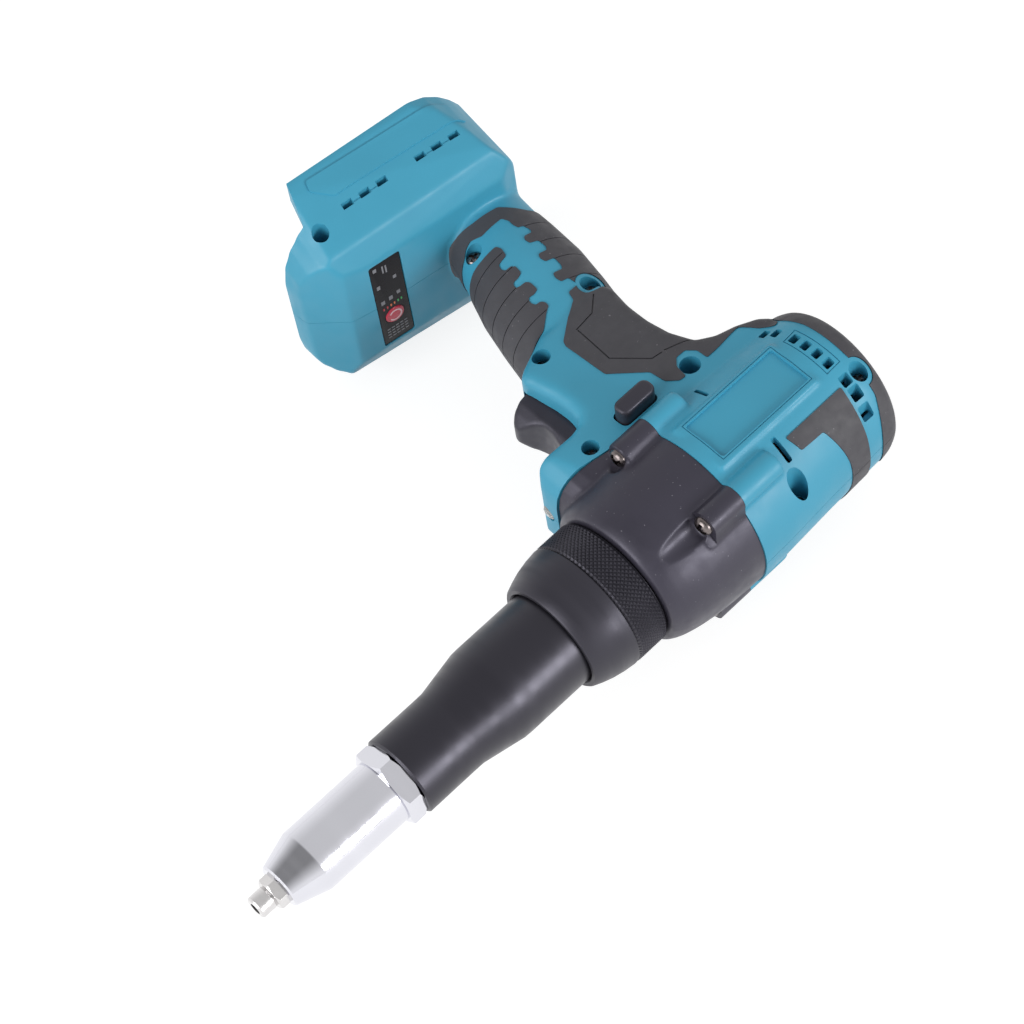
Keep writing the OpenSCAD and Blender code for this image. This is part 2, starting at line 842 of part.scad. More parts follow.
// Everything that the two housing halves fill, before hollowing
module housing_outer() {
    rod_x(x_back + bumper_l, x_motor, motor_d / 2);
    rod_x(x_back, x_motor, rear_seat_r);
    at_case_screws() rod_x(x_motor - boss_l, x_motor, boss_r);
    neck(0);
    handle_column(0, -handle_l, 0);
    foot_block(0, 0);
}

module housing_hollow() {
    rod_x(x_back + wall, x_motor + cut, motor_d / 2 - wall);
    neck(wall);
    handle_column(-wall, -handle_l - wall, -wall);
    foot_block(wall, bay_h + deck_t);
    in_foot() box([bay_rear, -cut, -bay_w / 2], [foot_front + cut, bay_h, bay_w / 2]);
}

// Bosses for the housing screws on one side of the seam
module screw_bosses(s) {
    for (p = housing_screws_at) translate([p[0], p[1], 0]) mirror([0, 0, s < 0 ? 1 : 0]) {
        cylinder(h = p[3] - gap, r = pillar_r);
        if (s > 0) translate([0, 0, p[2] - wall]) cylinder(h = p[3] - p[2] + wall - gap, r = cup_r);
    }
}

// Holes for the housing screws, sunk from the right side
module screw_holes() {
    for (p = housing_screws_at) translate([p[0], p[1], 0]) {
        translate([0, 0, -screw_reach]) cylinder(h = screw_reach + p[2] + cut, d = screw_d_housing);
        translate([0, 0, p[2]]) cylinder(h = foot_w, d = screw_head_d + gap);
    }
}

// Air slots round the motor's rear and in its side
module motor_vents() {
    for (a = vent_angles) rotate([a, 0, 0]) {
        box([vent_x - vent_l / 2, motor_d / 2 - 2 * wall, -vent_w / 2],
            [vent_x + vent_l / 2, motor_d, vent_w / 2]);
    }
}

module foot_vents() {
    in_foot() for (group = [0, 1], i = [0:2], s = [-1, 1]) {
        u = slot_u - group * slot_group - i * slot_pitch;
        box([u - slot_l / 2, slot_v, s * foot_w / 2 - slot_deep],
            [u + slot_l / 2, slot_v + slot_h, s * foot_w / 2 + slot_deep]);
    }
}

// The rear wall's cup for the shaft bearing
module bearing_cup() {
    tube_x(x_back + gap, x_rear_bearing + rear_bearing_w, rear_bearing_r + wall, rear_bearing_r);
}

// Ribs that hold the stator and the front plate's edge
module stator_ribs() {
    for (x = [x_stator + rib_w, x_stator + stator_l - 2 * rib_w]) {
        tube_x(x, x + rib_w, motor_d / 2 - wall + gap, stator_d / 2);
    }
}

module housing(s) {
    side(s) difference() {
        union() {
            difference() {
                housing_outer();
                housing_hollow();
            }
            intersection() {
                screw_bosses(s);
                housing_outer();
            }
            bearing_cup();
            stator_ribs();
            in_foot() for (z = [-1, 1]) {
                z_rail = z * (bay_w - rail_t) / 2;
                box([bay_rear - gap, rail_v, z_rail - (rail_t + gap) / 2],
                    [skirt_front - wall, rail_v + rail_h, z_rail + (rail_t + gap) / 2]);
            }
            led_socket();
            switch_pads();
        }
        screw_holes();
        motor_vents();
        foot_vents();
        difference() {
            rod_x(x_motor, 0, case_d / 2 + run);
            box([x_motor - cut, -case_d, -case_d], [0, -case_flat_y - run, case_d]);
        }
        at_case_screws() {
            rod_x(x_motor, 0, boss_r + run);
            rod_x(x_motor + boss_l + screw_head_t - case_screw_l, x_motor + cut, screw_r);
        }
        box([trigger_back - trigger_travel - trigger_play, trigger_y_low - trigger_play,
            -trigger_w / 2 - trigger_play],
            [chin_x, trigger_y_top + trigger_play, trigger_w / 2 + trigger_play]);
        box([lever_x - lever_l / 2 - trigger_play, lever_y - lever_h / 2 - trigger_play, -motor_d],
            [lever_x + lever_l / 2 + trigger_play, lever_y + lever_h / 2 + trigger_play, motor_d]);
        translate([0, led_y, 0]) rod_x(chin_x - led_l, chin_x + cut, led_r);
        box([plate_x, -plate_h / 2, motor_d / 2 - plate_deep], [plate_x + plate_l, plate_h / 2, motor_d]);
        box([plate_x, -plate_h / 2, -motor_d], [plate_x + plate_l, plate_h / 2, plate_deep - motor_d / 2]);
        in_foot() {
            box([panel_u - panel_w / 2, foot_h - panel_t, -panel_l / 2],
                [panel_u + panel_w / 2, foot_h + cut, panel_l / 2]);
            translate([panel_u, foot_h, button_z]) rotate([90, 0, 0]) {
                cylinder(h = panel_t + button_pocket, d = button_d + gap);
                cylinder(h = foot_h - bay_h - deck_t - cut, r = button_neck_r + gap / 2);
            }
            box([terminal_u - terminal_l, bay_h - cut, -terminal_w / 4],
                [terminal_u - wall, bay_h + deck_t + cut, terminal_w / 4]);
        }
    }
}

module housing_right() { color("#4297b4") housing(1); }
module housing_left() { color("#4297b4") housing(-1); }

// Pads that hold the trigger switch between the side walls
module switch_pads() {
    x = trigger_back - trigger_travel - gap - switch_l;
    for (z = [-1, 1]) translate([x, trigger_y_low + pad_l, (z * (switch_w + pad_l) - pad_l) / 2]) cube(pad_l);
}

// The lens block in the chin
module led_socket() {
    translate([0, led_y, 0]) rod_x(chin_x - led_l - wall, chin_x - gap, led_r + wall);
}

// Battlement edge running down the handle: n teeth between two depths
function battlement(n, y, near, far) = [for (i = [0:n - 1]) for (p = [[near, 0], [near, -tooth_share],
    [far, -tooth_share], [far, -1]]) [p[0], y + (p[1] - i) * grip_pitch]];

// Side outlines of the soft grip: the rear sheet with the band at the foot, and the finger patch
module grip_pattern() {
    reach = handle_depth;
    edge = battlement(grip_teeth, -grip_top, -tooth_mid - tooth_depth, -tooth_mid);
    low = -grip_top - grip_teeth * grip_pitch;
    slab(concat([[-reach, -grip_top + grip_pitch], [-tooth_mid, -grip_top + grip_pitch]], edge,
        [[-tooth_mid, low], [reach, low - tooth_depth], [reach, -grip_end], [-reach, -grip_end]]), foot_w);
    finger = battlement(finger_teeth, -grip_top - grip_pitch, tooth_mid + tooth_depth, tooth_mid);
    slab(concat([[reach, -grip_top + grip_pitch], [reach * finger_share, -grip_top - grip_pitch]], finger,
        [[tooth_mid, -grip_top - (finger_teeth + 1) * grip_pitch], [reach, low]]), foot_w);
}

module grip(s) {
    color("#444348") side(s) intersection() {
        difference() {
            handle_column(grip_t, -grip_end, -grip_top + grip_pitch);
            handle_column(0, -handle_l, 0);
            neck(0);
            screw_holes();
            foot_block(0, 0);
        }
        in_handle() grip_pattern();
    }
}
module grip_right() { grip(1); }
module grip_left() { grip(-1); }

module bumper(s) {
    r = motor_d / 2 + bumper_t;
    color("#3a393e") side(s) difference() {
        turned([[x_back + bumper_l, 0], [x_back + bumper_l, r], [x_back - bumper_l, r],
            [x_back - bumper_back, r - bumper_back], [x_back - bumper_back, 0]]);
        rod_x(x_back, x_motor, rear_seat_r);
        rod_x(x_back - bumper_back - cut, x_motor, bumper_hole_r);
        screw_holes();
    }
}
module bumper_right() { bumper(1); }
module bumper_left() { bumper(-1); }

// The seven-shaped soft patch beside the motor's vents
module accent(s) {
    color("#4a494f") side(s) intersection() {
        tube_x(x_back + bumper_l, x_motor, motor_d / 2 + accent_t, motor_d / 2);
        slab([[accent_x, accent_y], [accent_x + accent_l, accent_y],
            [accent_x + accent_l, accent_y + accent_w],
            [accent_x + accent_leg, accent_y + accent_w], [accent_x + accent_leg, motor_d],
            [accent_x, motor_d]], motor_d);
    }
}
module accent_right() { accent(1); }
module accent_left() { accent(-1); }

module housing_screws() {
    color("#8b8386") for (p = housing_screws_at) translate([p[0], p[1], 0]) difference() {
        union() {
            translate([0, 0, p[2]]) cylinder(h = screw_head_h, d = screw_head_d);
            translate([0, 0, -screw_reach + gap]) cylinder(h = screw_reach + p[2], d = screw_d_housing);
        }
        for (a = [0, 90]) rotate([0, 0, a]) {
            box([-screw_head_d * cross_share / 2, -cross_w / 2, p[2] + screw_head_h / 2],
                [screw_head_d * cross_share / 2, cross_w / 2, p[2] + screw_head_h + cut]);
        }
    }
}

module trigger() {
    mid = (trigger_y_top + trigger_y_low) / 2;
    color("#2b2a2f") {
        slab([[trigger_back, trigger_y_top], [trigger_back, trigger_y_low],
            [trigger_front - trigger_lip, trigger_y_low],
            [trigger_front - trigger_lip / 4, trigger_y_low + trigger_lip / 2],
            [trigger_front, trigger_y_low + trigger_lip], [trigger_front - trigger_lip / 2, mid],
            [trigger_front - trigger_lip * 3 / 4, trigger_y_top]], trigger_w / 2);
        box([trigger_back - trigger_travel + gap, mid - trigger_stem_h / 2, -trigger_stem_w / 2],
            [trigger_back, mid + trigger_stem_h / 2, trigger_stem_w / 2]);
    }
}

module trigger_switch() {
    x_face = trigger_back - trigger_travel - gap;
    mid = (trigger_y_top + trigger_y_low) / 2;
    color("#222226") difference() {
        box([x_face - switch_l, trigger_y_low, -switch_w / 2], [x_face, trigger_y_top, switch_w / 2]);
        box([x_face - trigger_travel, mid - trigger_stem_h / 2 - trigger_play,
            -trigger_stem_w / 2 - trigger_play],
            [x_face + cut, mid + trigger_stem_h / 2 + trigger_play, trigger_stem_w / 2 + trigger_play]);
    }
}

// Two buttons joined by a web that passes behind the gear case
module direction_lever() {
    x0 = lever_x - lever_l / 2;
    y0 = lever_y - lever_h / 2;
    color("#2b2a2f") {
        for (z = [lever_top - lever_button_l, lever_low]) {
            box([x0, y0, z], [x0 + lever_l, y0 + lever_h, z + lever_button_l]);
        }
        box([x0, y0, lever_low], [x0 + lever_web_l, y0 + lever_web_h, lever_top]);
    }
}

module led_lens() {
    color("white") translate([0, led_y, 0]) rod_x(chin_x - led_l, chin_x - gap, led_r);
}

module control_panel() {
    color("#202126") in_foot() difference() {
        box([panel_u - panel_w / 2, foot_h - panel_t, -panel_l / 2],
            [panel_u + panel_w / 2, foot_h, panel_l / 2]);
        translate([panel_u, foot_h + cut, button_z]) rotate([90, 0, 0])
            cylinder(h = panel_t + 2 * cut, d = button_d + gap);
    }
}

module power_button() {
    color("crimson") in_foot() translate([panel_u, foot_h + button_rise, button_z]) rotate([90, 0, 0]) {
        cylinder(h = button_rise + panel_t + gap / 2, d = button_d);
        cylinder(h = button_rise + wall + gap / 2, r = button_neck_r);
    }
}

module panel_board() {
    v = foot_h - wall - gap / 2 - button_travel - gap - board_t;
    color("darkgreen") in_foot() {
        box([panel_u - panel_w / 2, v, -panel_l * board_share / 2],
            [panel_u + panel_w / 2, v + board_t, panel_l * board_share / 2]);
        for (s = [-1, 1]) {
            z_foot = s * (panel_l * board_share - board_foot) / 2;
            box([panel_u - board_foot, v + board_t, z_foot - board_foot / 2],
                [panel_u + board_foot, foot_h - wall, z_foot + board_foot / 2]);
        }
    }
}

module terminal_block() {
    color("#2a2a2e") in_foot() {
        box([terminal_u - terminal_l, bay_h - terminal_h, -terminal_w / 2],
            [terminal_u, bay_h, terminal_w / 2]);
        box([terminal_u - terminal_l, bay_h, -terminal_w / 4],
            [terminal_u - wall, bay_h + deck_t, terminal_w / 4]);
    }
}

module terminal_blades() {
    color("goldenrod") in_foot() for (z = [-1, 0, 1]) {
        translate([terminal_u, bay_h - terminal_h + cut, z * terminal_w / 3 - blade_t / 2])
            cube([blade_l, blade_h, blade_t]);
    }
}

module control_board() {
    color("darkgreen") in_foot() box([terminal_u - terminal_l, bay_h + deck_t, -panel_l / 2],
        [board_u, bay_h + deck_t + board_t, panel_l / 2]);
}

nosepiece();
nose_sleeve();
barrel();
collar();
gear_case();
gear_case_screws();
spindle_bearing();
thrust_washer();
ring_gear();
motor_plate();
front_bearing();
rear_bearing();
motor_shaft();
rotor_core();
cooling_fan();
stator_core();
stator_windings();
hall_board();
planet_1a();
planet_1b();
planet_1c();
carrier_1();
planet_2a();
planet_2b();
planet_2c();
carrier_2();
pulling_screw();
drive_nut();
pull_rod();
jaw_case();
jaw_a();
jaw_b();
jaw_c();
jaw_pusher();
jaw_spring();
housing_right();
housing_left();
grip_right();
grip_left();
bumper_right();
bumper_left();
accent_right();
accent_left();
housing_screws();
trigger();
trigger_switch();
direction_lever();
led_lens();
control_panel();
power_button();
panel_board();
terminal_block();
terminal_blades();
control_board();
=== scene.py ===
import bpy
import bmesh
import math
from mathutils import Matrix, Vector


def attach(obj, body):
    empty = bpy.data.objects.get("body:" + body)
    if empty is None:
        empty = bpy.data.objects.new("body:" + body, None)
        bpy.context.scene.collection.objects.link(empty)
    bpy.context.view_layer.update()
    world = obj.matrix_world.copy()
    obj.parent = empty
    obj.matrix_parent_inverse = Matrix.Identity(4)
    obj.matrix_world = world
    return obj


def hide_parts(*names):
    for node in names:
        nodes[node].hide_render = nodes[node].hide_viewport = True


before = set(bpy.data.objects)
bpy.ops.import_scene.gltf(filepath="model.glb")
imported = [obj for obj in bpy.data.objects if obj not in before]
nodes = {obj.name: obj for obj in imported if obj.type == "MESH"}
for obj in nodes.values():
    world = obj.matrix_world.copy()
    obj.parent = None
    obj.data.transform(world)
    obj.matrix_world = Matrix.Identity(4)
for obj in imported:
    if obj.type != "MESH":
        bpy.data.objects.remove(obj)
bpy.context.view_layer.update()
scene = bpy.context.scene
mm = 0.001
mergeReach = 0.0005  # corners closer than this, in millimetres, are one
far = 60  # cutters reach this far past the tool's middle, in millimetres
knurlX = -124.4  # front edge of the knurl; side outlines count from here
sideShift = Matrix.Translation((knurlX, 0, 0))
footTurn = Matrix.Translation((knurlX - 46, -137.4, 0)) @ Matrix.Rotation(math.radians(-8.5), 4, "Z")
handleTurn = Matrix.Translation((knurlX - 52.9, -40, 0)) @ Matrix.Rotation(math.radians(-11.6), 4, "Z")
flipZ = Matrix.Scale(-1, 4, (0, 0, 1))
alongX = Matrix(((0, 0, 1, 0), (1, 0, 0, 0), (0, 1, 0, 0), (0, 0, 0, 1)))  # outline x, y and depth become y, z, x
alongY = Matrix(((1, 0, 0, 0), (0, 0, 1, 0), (0, 1, 0, 0), (0, 0, 0, 1)))  # outline x, y and depth become x, z, y
print("frame loaded,", len(nodes), "nodes")

# camera at the photograph's place
cameraSetup = {
    "place": (140.139, 341.872, 758.820),
    "right": (-0.7107304, 0.6970864, -0.0945134),
    "down": (0.6345850, 0.5773450, -0.5137847),
    "ahead": (-0.3035855, -0.4251392, -0.8526972),
    "lens": 112.5,
}
right, down, ahead = (Vector(cameraSetup[k]).normalized() for k in ("right", "down", "ahead"))
camera = bpy.data.objects.new("camera", bpy.data.cameras.new("camera"))
camera.data.lens = cameraSetup["lens"]
camera.data.clip_start = 0.01
cameraTurn = Matrix((right, -down, -ahead)).transposed().to_4x4()
camera.matrix_world = Matrix.Translation(Vector(cameraSetup["place"]) * mm) @ cameraTurn
scene.collection.objects.link(camera)
scene.camera = camera
scene.view_settings.view_transform = "Standard"


def linear(hexColor):
    parts = [int(hexColor[i:i + 2], 16) / 255 for i in (1, 3, 5)]
    return tuple(c / 12.92 if c <= 0.04045 else ((c + 0.055) / 1.055) ** 2.4 for c in parts) + (1,)


def addNode(tree, kind, settings={}, links={}):
    node = tree.nodes.new(kind)
    for key, value in settings.items():
        if isinstance(key, int) or key in node.inputs:
            node.inputs[key].default_value = value
        else:
            setattr(node, key, value)
    for key, source in links.items():
        tree.links.new(source, node.inputs[key])
    return node


# 1 for rays that see a surface, from the camera, by reflection or through a lens
def seenRays(tree):
    path = addNode(tree, "ShaderNodeLightPath")
    seen = path.outputs["Is Camera Ray"]
    for kind in ("Is Glossy Ray", "Is Transmission Ray"):
        seen = addNode(tree, "ShaderNodeMath", {"operation": "MAXIMUM"}, {0: seen, 1: path.outputs[kind]}).outputs[0]
    return seen


# meshes are drawn in millimetres and scaled once, when they become pieces
def newPiece(name, bm):
    bmesh.ops.remove_doubles(bm, verts=bm.verts, dist=mergeReach)
    bmesh.ops.recalc_face_normals(bm, faces=bm.faces)
    bmesh.ops.scale(bm, vec=(mm, mm, mm), verts=bm.verts)
    mesh = bpy.data.meshes.new(name)
    bm.to_mesh(mesh)
    bm.free()
    piece = bpy.data.objects.new(name, mesh)
    scene.collection.objects.link(piece)
    return piece


def pieceOf(name, shape, *args, **options):
    bm = bmesh.new()
    shape(bm, *args, **options)
    return newPiece(name, bm)


def bake(piece):
    graph = bpy.context.evaluated_depsgraph_get()
    mesh = bpy.data.meshes.new_from_object(piece.evaluated_get(graph))
    old = piece.data
    piece.modifiers.clear()
    piece.data = mesh
    bpy.data.meshes.remove(old)
    mesh.name = piece.name
    return piece


def discard(piece):
    mesh = piece.data
    bpy.data.objects.remove(piece)
    bpy.data.meshes.remove(mesh)


def cutWith(piece, tool, how="DIFFERENCE", keepTool=False):
    step = piece.modifiers.new("cut", "BOOLEAN")
    step.operation = how
    step.solver = "MANIFOLD"
    step.object = tool
    bake(piece)
    if not keepTool:
        discard(tool)
    return piece


def copyOf(piece, name):
    twin = bpy.data.objects.new(name, piece.data.copy())
    scene.collection.objects.link(twin)
    return twin


def offsetOf(piece, name, reach):
    twin = copyOf(piece, name)
    step = twin.modifiers.new("grow", "DISPLACE")
    step.direction = "NORMAL"
    step.mid_level = 0
    step.strength = reach * mm
    return bake(twin)


def skinned(piece, voxel, rounds):
    step = piece.modifiers.new("remesh", "REMESH")
    step.mode = "VOXEL"
    step.voxel_size = voxel * mm
    step = piece.modifiers.new("soften", "SMOOTH")
    step.factor = 0.5
    step.iterations = rounds
    return bake(piece)


def vertsOf(geom):
    return [g for g in geom if isinstance(g, bmesh.types.BMVert)]


def mirrored(outline):
    return outline + [(x, -z) for x, z in reversed(outline)]


def fromKnurl(profile):
    return [(knurlX + x, r) for x, r in profile]


def turnedShape(bm, profile, steps=96, closed=False):
    ring = [bm.verts.new((x, r, 0)) for x, r in profile]
    edges = [bm.edges.new(pair) for pair in zip(ring, ring[1:])]
    if closed:
        edges.append(bm.edges.new((ring[-1], ring[0])))
    bmesh.ops.spin(bm, geom=ring + edges, cent=(0, 0, 0), axis=(1, 0, 0), angle=2 * math.pi, steps=steps,
        use_merge=True)


def prismShape(bm, outline, low, high, place=Matrix.Identity(4), corners=0, rims=0, inset=0):
    work = bmesh.new()
    face = work.faces.new([work.verts.new((x, y, low)) for x, y in outline])
    if inset:
        bmesh.ops.inset_region(work, faces=[face], thickness=inset, use_even_offset=True, use_boundary=True)
        bmesh.ops.delete(work, geom=[f for f in work.faces if f != face], context="FACES")
    if corners:
        bmesh.ops.bevel(work, geom=list(face.verts), offset=corners, affect="VERTICES", segments=4, profile=0.5,
            material=-1, clamp_overlap=True)
    grown = bmesh.ops.extrude_face_region(work, geom=list(work.faces))["geom"]
    bmesh.ops.translate(work, verts=vertsOf(grown), vec=(0, 0, high - low))
    if rims:
        edges = [e for e in work.edges if all(abs(v.co.z - high) < 1e-6 for v in e.verts)]
        bmesh.ops.bevel(work, geom=edges, offset=rims, affect="EDGES", segments=4, profile=0.5, material=-1,
            clamp_overlap=corners <= rims)
    bmesh.ops.transform(work, matrix=place, verts=work.verts)
    addWork(bm, work)


def addWork(bm, work):
    mesh = bpy.data.meshes.new("work")
    work.to_mesh(mesh)
    work.free()
    bm.from_mesh(mesh)
    bpy.data.meshes.remove(mesh)


def workOf(piece, grow=1):
    work = bmesh.new()
    work.from_mesh(piece.data)
    bmesh.ops.scale(work, vec=(grow / mm,) * 3, verts=work.verts)
    return work


def rodShape(bm, start, end, radius, segments=32):
    way = Vector(end) - Vector(start)
    place = Matrix.Translation((Vector(start) + Vector(end)) / 2) @ way.to_track_quat("Z", "Y").to_matrix().to_4x4()
    bmesh.ops.create_cone(bm, cap_ends=True, segments=segments, radius1=radius, radius2=radius, depth=way.length,
        matrix=place)


def boxShape(bm, low, high, place=Matrix.Identity(4)):
    prismShape(bm, [(low[0], low[1]), (high[0], low[1]), (high[0], high[1]), (low[0], high[1])], low[2], high[2],
        place)


def lineShape(bm, points, width, low, high, place=Matrix.Identity(4), closed=False):
    work = bmesh.new()
    verts = [work.verts.new((x, y, low)) for x, y in points]
    edges = [work.edges.new(pair) for pair in zip(verts, verts[1:])]
    if closed:
        edges.append(work.edges.new((verts[-1], verts[0])))
    grown = bmesh.ops.extrude_edge_only(work, edges=edges)["geom"]
    bmesh.ops.translate(work, verts=vertsOf(grown), vec=(0, 0, high - low))
    bmesh.ops.recalc_face_normals(work, faces=work.faces)
    bmesh.ops.solidify(work, geom=list(work.faces), thickness=width)
    bmesh.ops.transform(work, matrix=place, verts=work.verts)
    addWork(bm, work)


def hexShape(bm, f):
    radius = f["hexFlat"] / math.cos(math.pi / 6)
    place = Matrix.Translation(((f["hexFront"] + f["hexRear"]) / 2, 0, 0)) @ alongX
    bmesh.ops.create_cone(bm, cap_ends=True, segments=6, radius1=radius, radius2=radius,
        depth=f["hexFront"] - f["hexRear"], matrix=place)


def bothSides(bm, shape, *args, **options):
    place = options.pop("place", Matrix.Identity(4))
    shape(bm, *args, place=place, **options)
    shape(bm, *args, place=flipZ @ place, **options)


# the housing's outer form, joined and skinned before it is cut
motorForm = {"front": -37, "radius": 27.3, "bossY": 15.9, "bossZ": 22.4, "bossR": 4.3, "barEnd": -53.6, "upperBar": 3,
    "topDrop": (0.085, -44, 40), "lowDrop": (0.13, -64, 20),  # share, where it starts, over what length
    "flat": ((-82, -9.2, 0), (-44, 9.2, 26.9)), "steps": 128,
    "tail": [(-91.5, 27.3), (-94.6, 26.8), (-97.2, 25.6), (-98.8, 23.6), (-98.8, 19.4), (-95.6, 17.4), (-95, 0)]}
neckForm = {
    "outline": [(-11.9, -12), (-11.9, -27.6), (-12.6, -30.8), (-14.6, -33), (-18, -33.8), (-27.5, -33.5),
        (-31, -34.2), (-33.2, -36.6), (-34, -40.6), (-33.8, -46), (-33, -51), (-32.6, -54.4), (-31.9, -56.6),
        (-32.8, -58.8), (-35.2, -60.4), (-39.4, -62.2), (-46, -65), (-70, -66), (-71.7, -61.2), (-70.1, -53.2),
        (-69.7, -45), (-70.5, -37), (-73, -29.6), (-77.6, -26.2), (-83.6, -24.2), (-89.4, -21), (-92, -18),
        (-92, -12)],
    "bow": [(-11.9, 7), (-12.6, 11.6), (-14.2, 15.4), (-17, 18.5), (-21, 20.7), (-26, 21.8), (-34, 24), (-100, 24)],
    "topHalf": 21.6, "lowHalf": 14.8, "topY": -12, "lowY": -70, "edge": 3.2,
}
handleForm = {  # station down the handle, half depth, half thickness, shift to the front
    "rings": [(12, 15.6, 14.8, -0.4), (18, 17.6, 15, 1.2), (24, 18, 15.2, 0.7), (34, 18, 15.6, 0.3),
        (46, 17.5, 15.9, -0.15), (58, 15.6, 15.5, -0.5), (66, 14.3, 15.2, -0.4), (72, 14, 15.3, -0.2),
        (80, 14.2, 15.8, 0)],
    "sides": 48, "fullness": 2.25,
}
footForm = {
    "side": [(35.2, 7.8), (35, 11), (33.9, 16.2), (23.3, 24.4), (15, 25.2), (-33, 25.2), (-38.4, 22.6), (-41, 17),
        (-41, -8), (35.2, -8)],
    "under": [(-60, -3.8), (22.2, -1.2), (24.9, 10), (60, 10), (60, -30), (-60, -30)],
    "end": [(-10, 39.6), (-0.5, 39.6), (21.4, 29.4), (25.6, 19.8)],
    "plan": [(34.8, 14), (33.6, 21.5), (31, 27.2), (27.4, 32), (23.6, 36), (20, 38.7), (16, 39.6), (-21, 39.6),
        (-26.4, 37.6), (-31, 33.8), (-34.6, 29.4), (-37.6, 24.5), (-39.6, 18.5), (-40.8, 11), (-41, 5)],
    "low": -10, "taper": 0.013, "heel": 0.0015,
}
hollowForm = {  # insides of the neck and the foot
    "outline": [(-14.2, -16), (-14.2, -25.5), (-15.2, -27.6), (-17.4, -29), (-21.4, -29.7), (-29, -30), (-33, -31.6),
        (-36.4, -36), (-37, -41), (-37, -58), (-43, -62), (-67, -62.6), (-68.8, -60), (-67.4, -53), (-67, -45),
        (-67.8, -36.6), (-71, -28), (-77, -23.4), (-85.6, -20.2), (-88, -17), (-88, -14)],
    "bow": [(-14.2, 4), (-15, 8), (-16.8, 11.6), (-19.6, 14.8), (-23, 17.2), (-27.4, 18.9), (-100, 21)],
    "topHalf": 18.9, "lowHalf": 12, "topY": -12, "lowY": -70,
    "side": [(32, 12), (31.2, 14), (28, 17.6), (21.6, 22.2), (-32, 22.2), (-38.2, 16), (-38.2, 12)],
    "end": [(11, 31.2), (12, 31), (19.6, 27.4), (22.8, 19.2)],
    "plan": [(32, 12), (30, 21), (25, 29.6), (18, 35.6), (-20, 36.8), (-27, 34), (-33, 27), (-37, 17), (-38.2, 6)],
    "low": 12,
}
skinSetup = {"voxel": 0.56, "smoothing": 15, "wall": 3.2}


def handleShape(bm, grow=0.0):
    f = handleForm
    work = bmesh.new()
    last = None
    power = 2 / f["fullness"]
    for drop, depth, thick, shift in f["rings"]:
        ring = bmesh.ops.create_circle(work, segments=f["sides"], radius=1)["verts"]
        edges = list({e for v in ring for e in v.link_edges})
        for v in ring:
            c, s = v.co.x, v.co.y
            v.co = (shift + math.copysign(abs(c) ** power, c) * (depth + grow), -drop,
                math.copysign(abs(s) ** power, s) * (thick + grow))
        if last:
            bmesh.ops.bridge_loops(work, edges=last + edges)
        last = edges
    bmesh.ops.holes_fill(work, edges=work.edges, sides=0)
    bmesh.ops.transform(work, matrix=handleTurn, verts=work.verts)
    addWork(bm, work)


def footPiece(name, f):
    wide, tall, crown, level = 50, 40, 1.01, 8  # blanks' half width and top, crown's share, taper's start
    foot = pieceOf(name, prismShape, f["side"], -wide, wide, footTurn)
    bm = bmesh.new()
    prismShape(bm, mirrored(f["end"]), -far, far, alongX)
    for v in bm.verts:
        if v.co.y > 0:  # the crown is fuller at the heel than at the front
            v.co.z *= crown - f.get("heel", 0) * v.co.x
    bmesh.ops.transform(bm, matrix=footTurn, verts=bm.verts)
    cutWith(foot, newPiece("footEnd", bm), "INTERSECT")
    bm = bmesh.new()
    prismShape(bm, mirrored(f["plan"]), f["low"], tall, alongY)
    for v in bm.verts:
        if v.co.x > 0:  # the front corners draw in towards the top
            v.co.z *= 1 + f.get("taper", 0) * (level - v.co.y)
    bmesh.ops.transform(bm, matrix=footTurn, verts=bm.verts)
    return cutWith(foot, newPiece("footPlan", bm), "INTERSECT")


def neckShape(bm, f):
    work = bmesh.new()
    prismShape(work, f["outline"], -1, 1, sideShift)
    for v in work.verts:
        share = (v.co.y - f["lowY"]) / (f["topY"] - f["lowY"])
        v.co.z *= f["lowHalf"] + (f["topHalf"] - f["lowHalf"]) * share
    if "edge" in f:
        rims = [e for e in work.edges if e.verts[0].co.z * e.verts[1].co.z > 0]
        bmesh.ops.bevel(work, geom=rims, offset=f["edge"], affect="EDGES", segments=4, profile=0.5, material=-1,
            clamp_overlap=True)
    addWork(bm, work)


def neckPiece(name, f):
    neck = pieceOf(name, neckShape, f)
    return cutWith(neck, pieceOf("neckPlan", prismShape, mirrored(f["bow"]), -80, 0, sideShift @ alongY), "INTERSECT")


f = motorForm
bm = bmesh.new()
body = [(f["front"], 0)] + [(x, f["radius"]) for x in (f["front"], -50, -70)]
turnedShape(bm, fromKnurl(body + f["tail"]), f["steps"])
for v in bm.verts:  # the top and the underside slope to the tail
    share, start, length = f["topDrop"] if v.co.y > 0 else f["lowDrop"]
    v.co.y *= 1 - share * min(1, max(0, (knurlX + start - v.co.x) / length))
for piece in (footPiece("footForm", footForm), neckPiece("neckForm", neckForm)):
    addWork(bm, workOf(piece))
    discard(piece)
bossSides = [(sy, sz) for sy in (-1, 1) for sz in (-1, 1)]
for sy, sz in bossSides:
    y, z = sy * f["bossY"], sz * f["bossZ"]
    rear = knurlX + f["barEnd"] - (f["upperBar"] if sy > 0 else 0)
    rodShape(bm, (knurlX + f["front"], y, z), (rear, y, z), f["bossR"])
bothSides(bm, boxShape, *f["flat"], place=sideShift)
handleShape(bm)
shell = newPiece("shellForm", bm)
skinned(shell, skinSetup["voxel"], skinSetup["smoothing"])
print("shell form skinned,", len(shell.data.polygons), "faces")

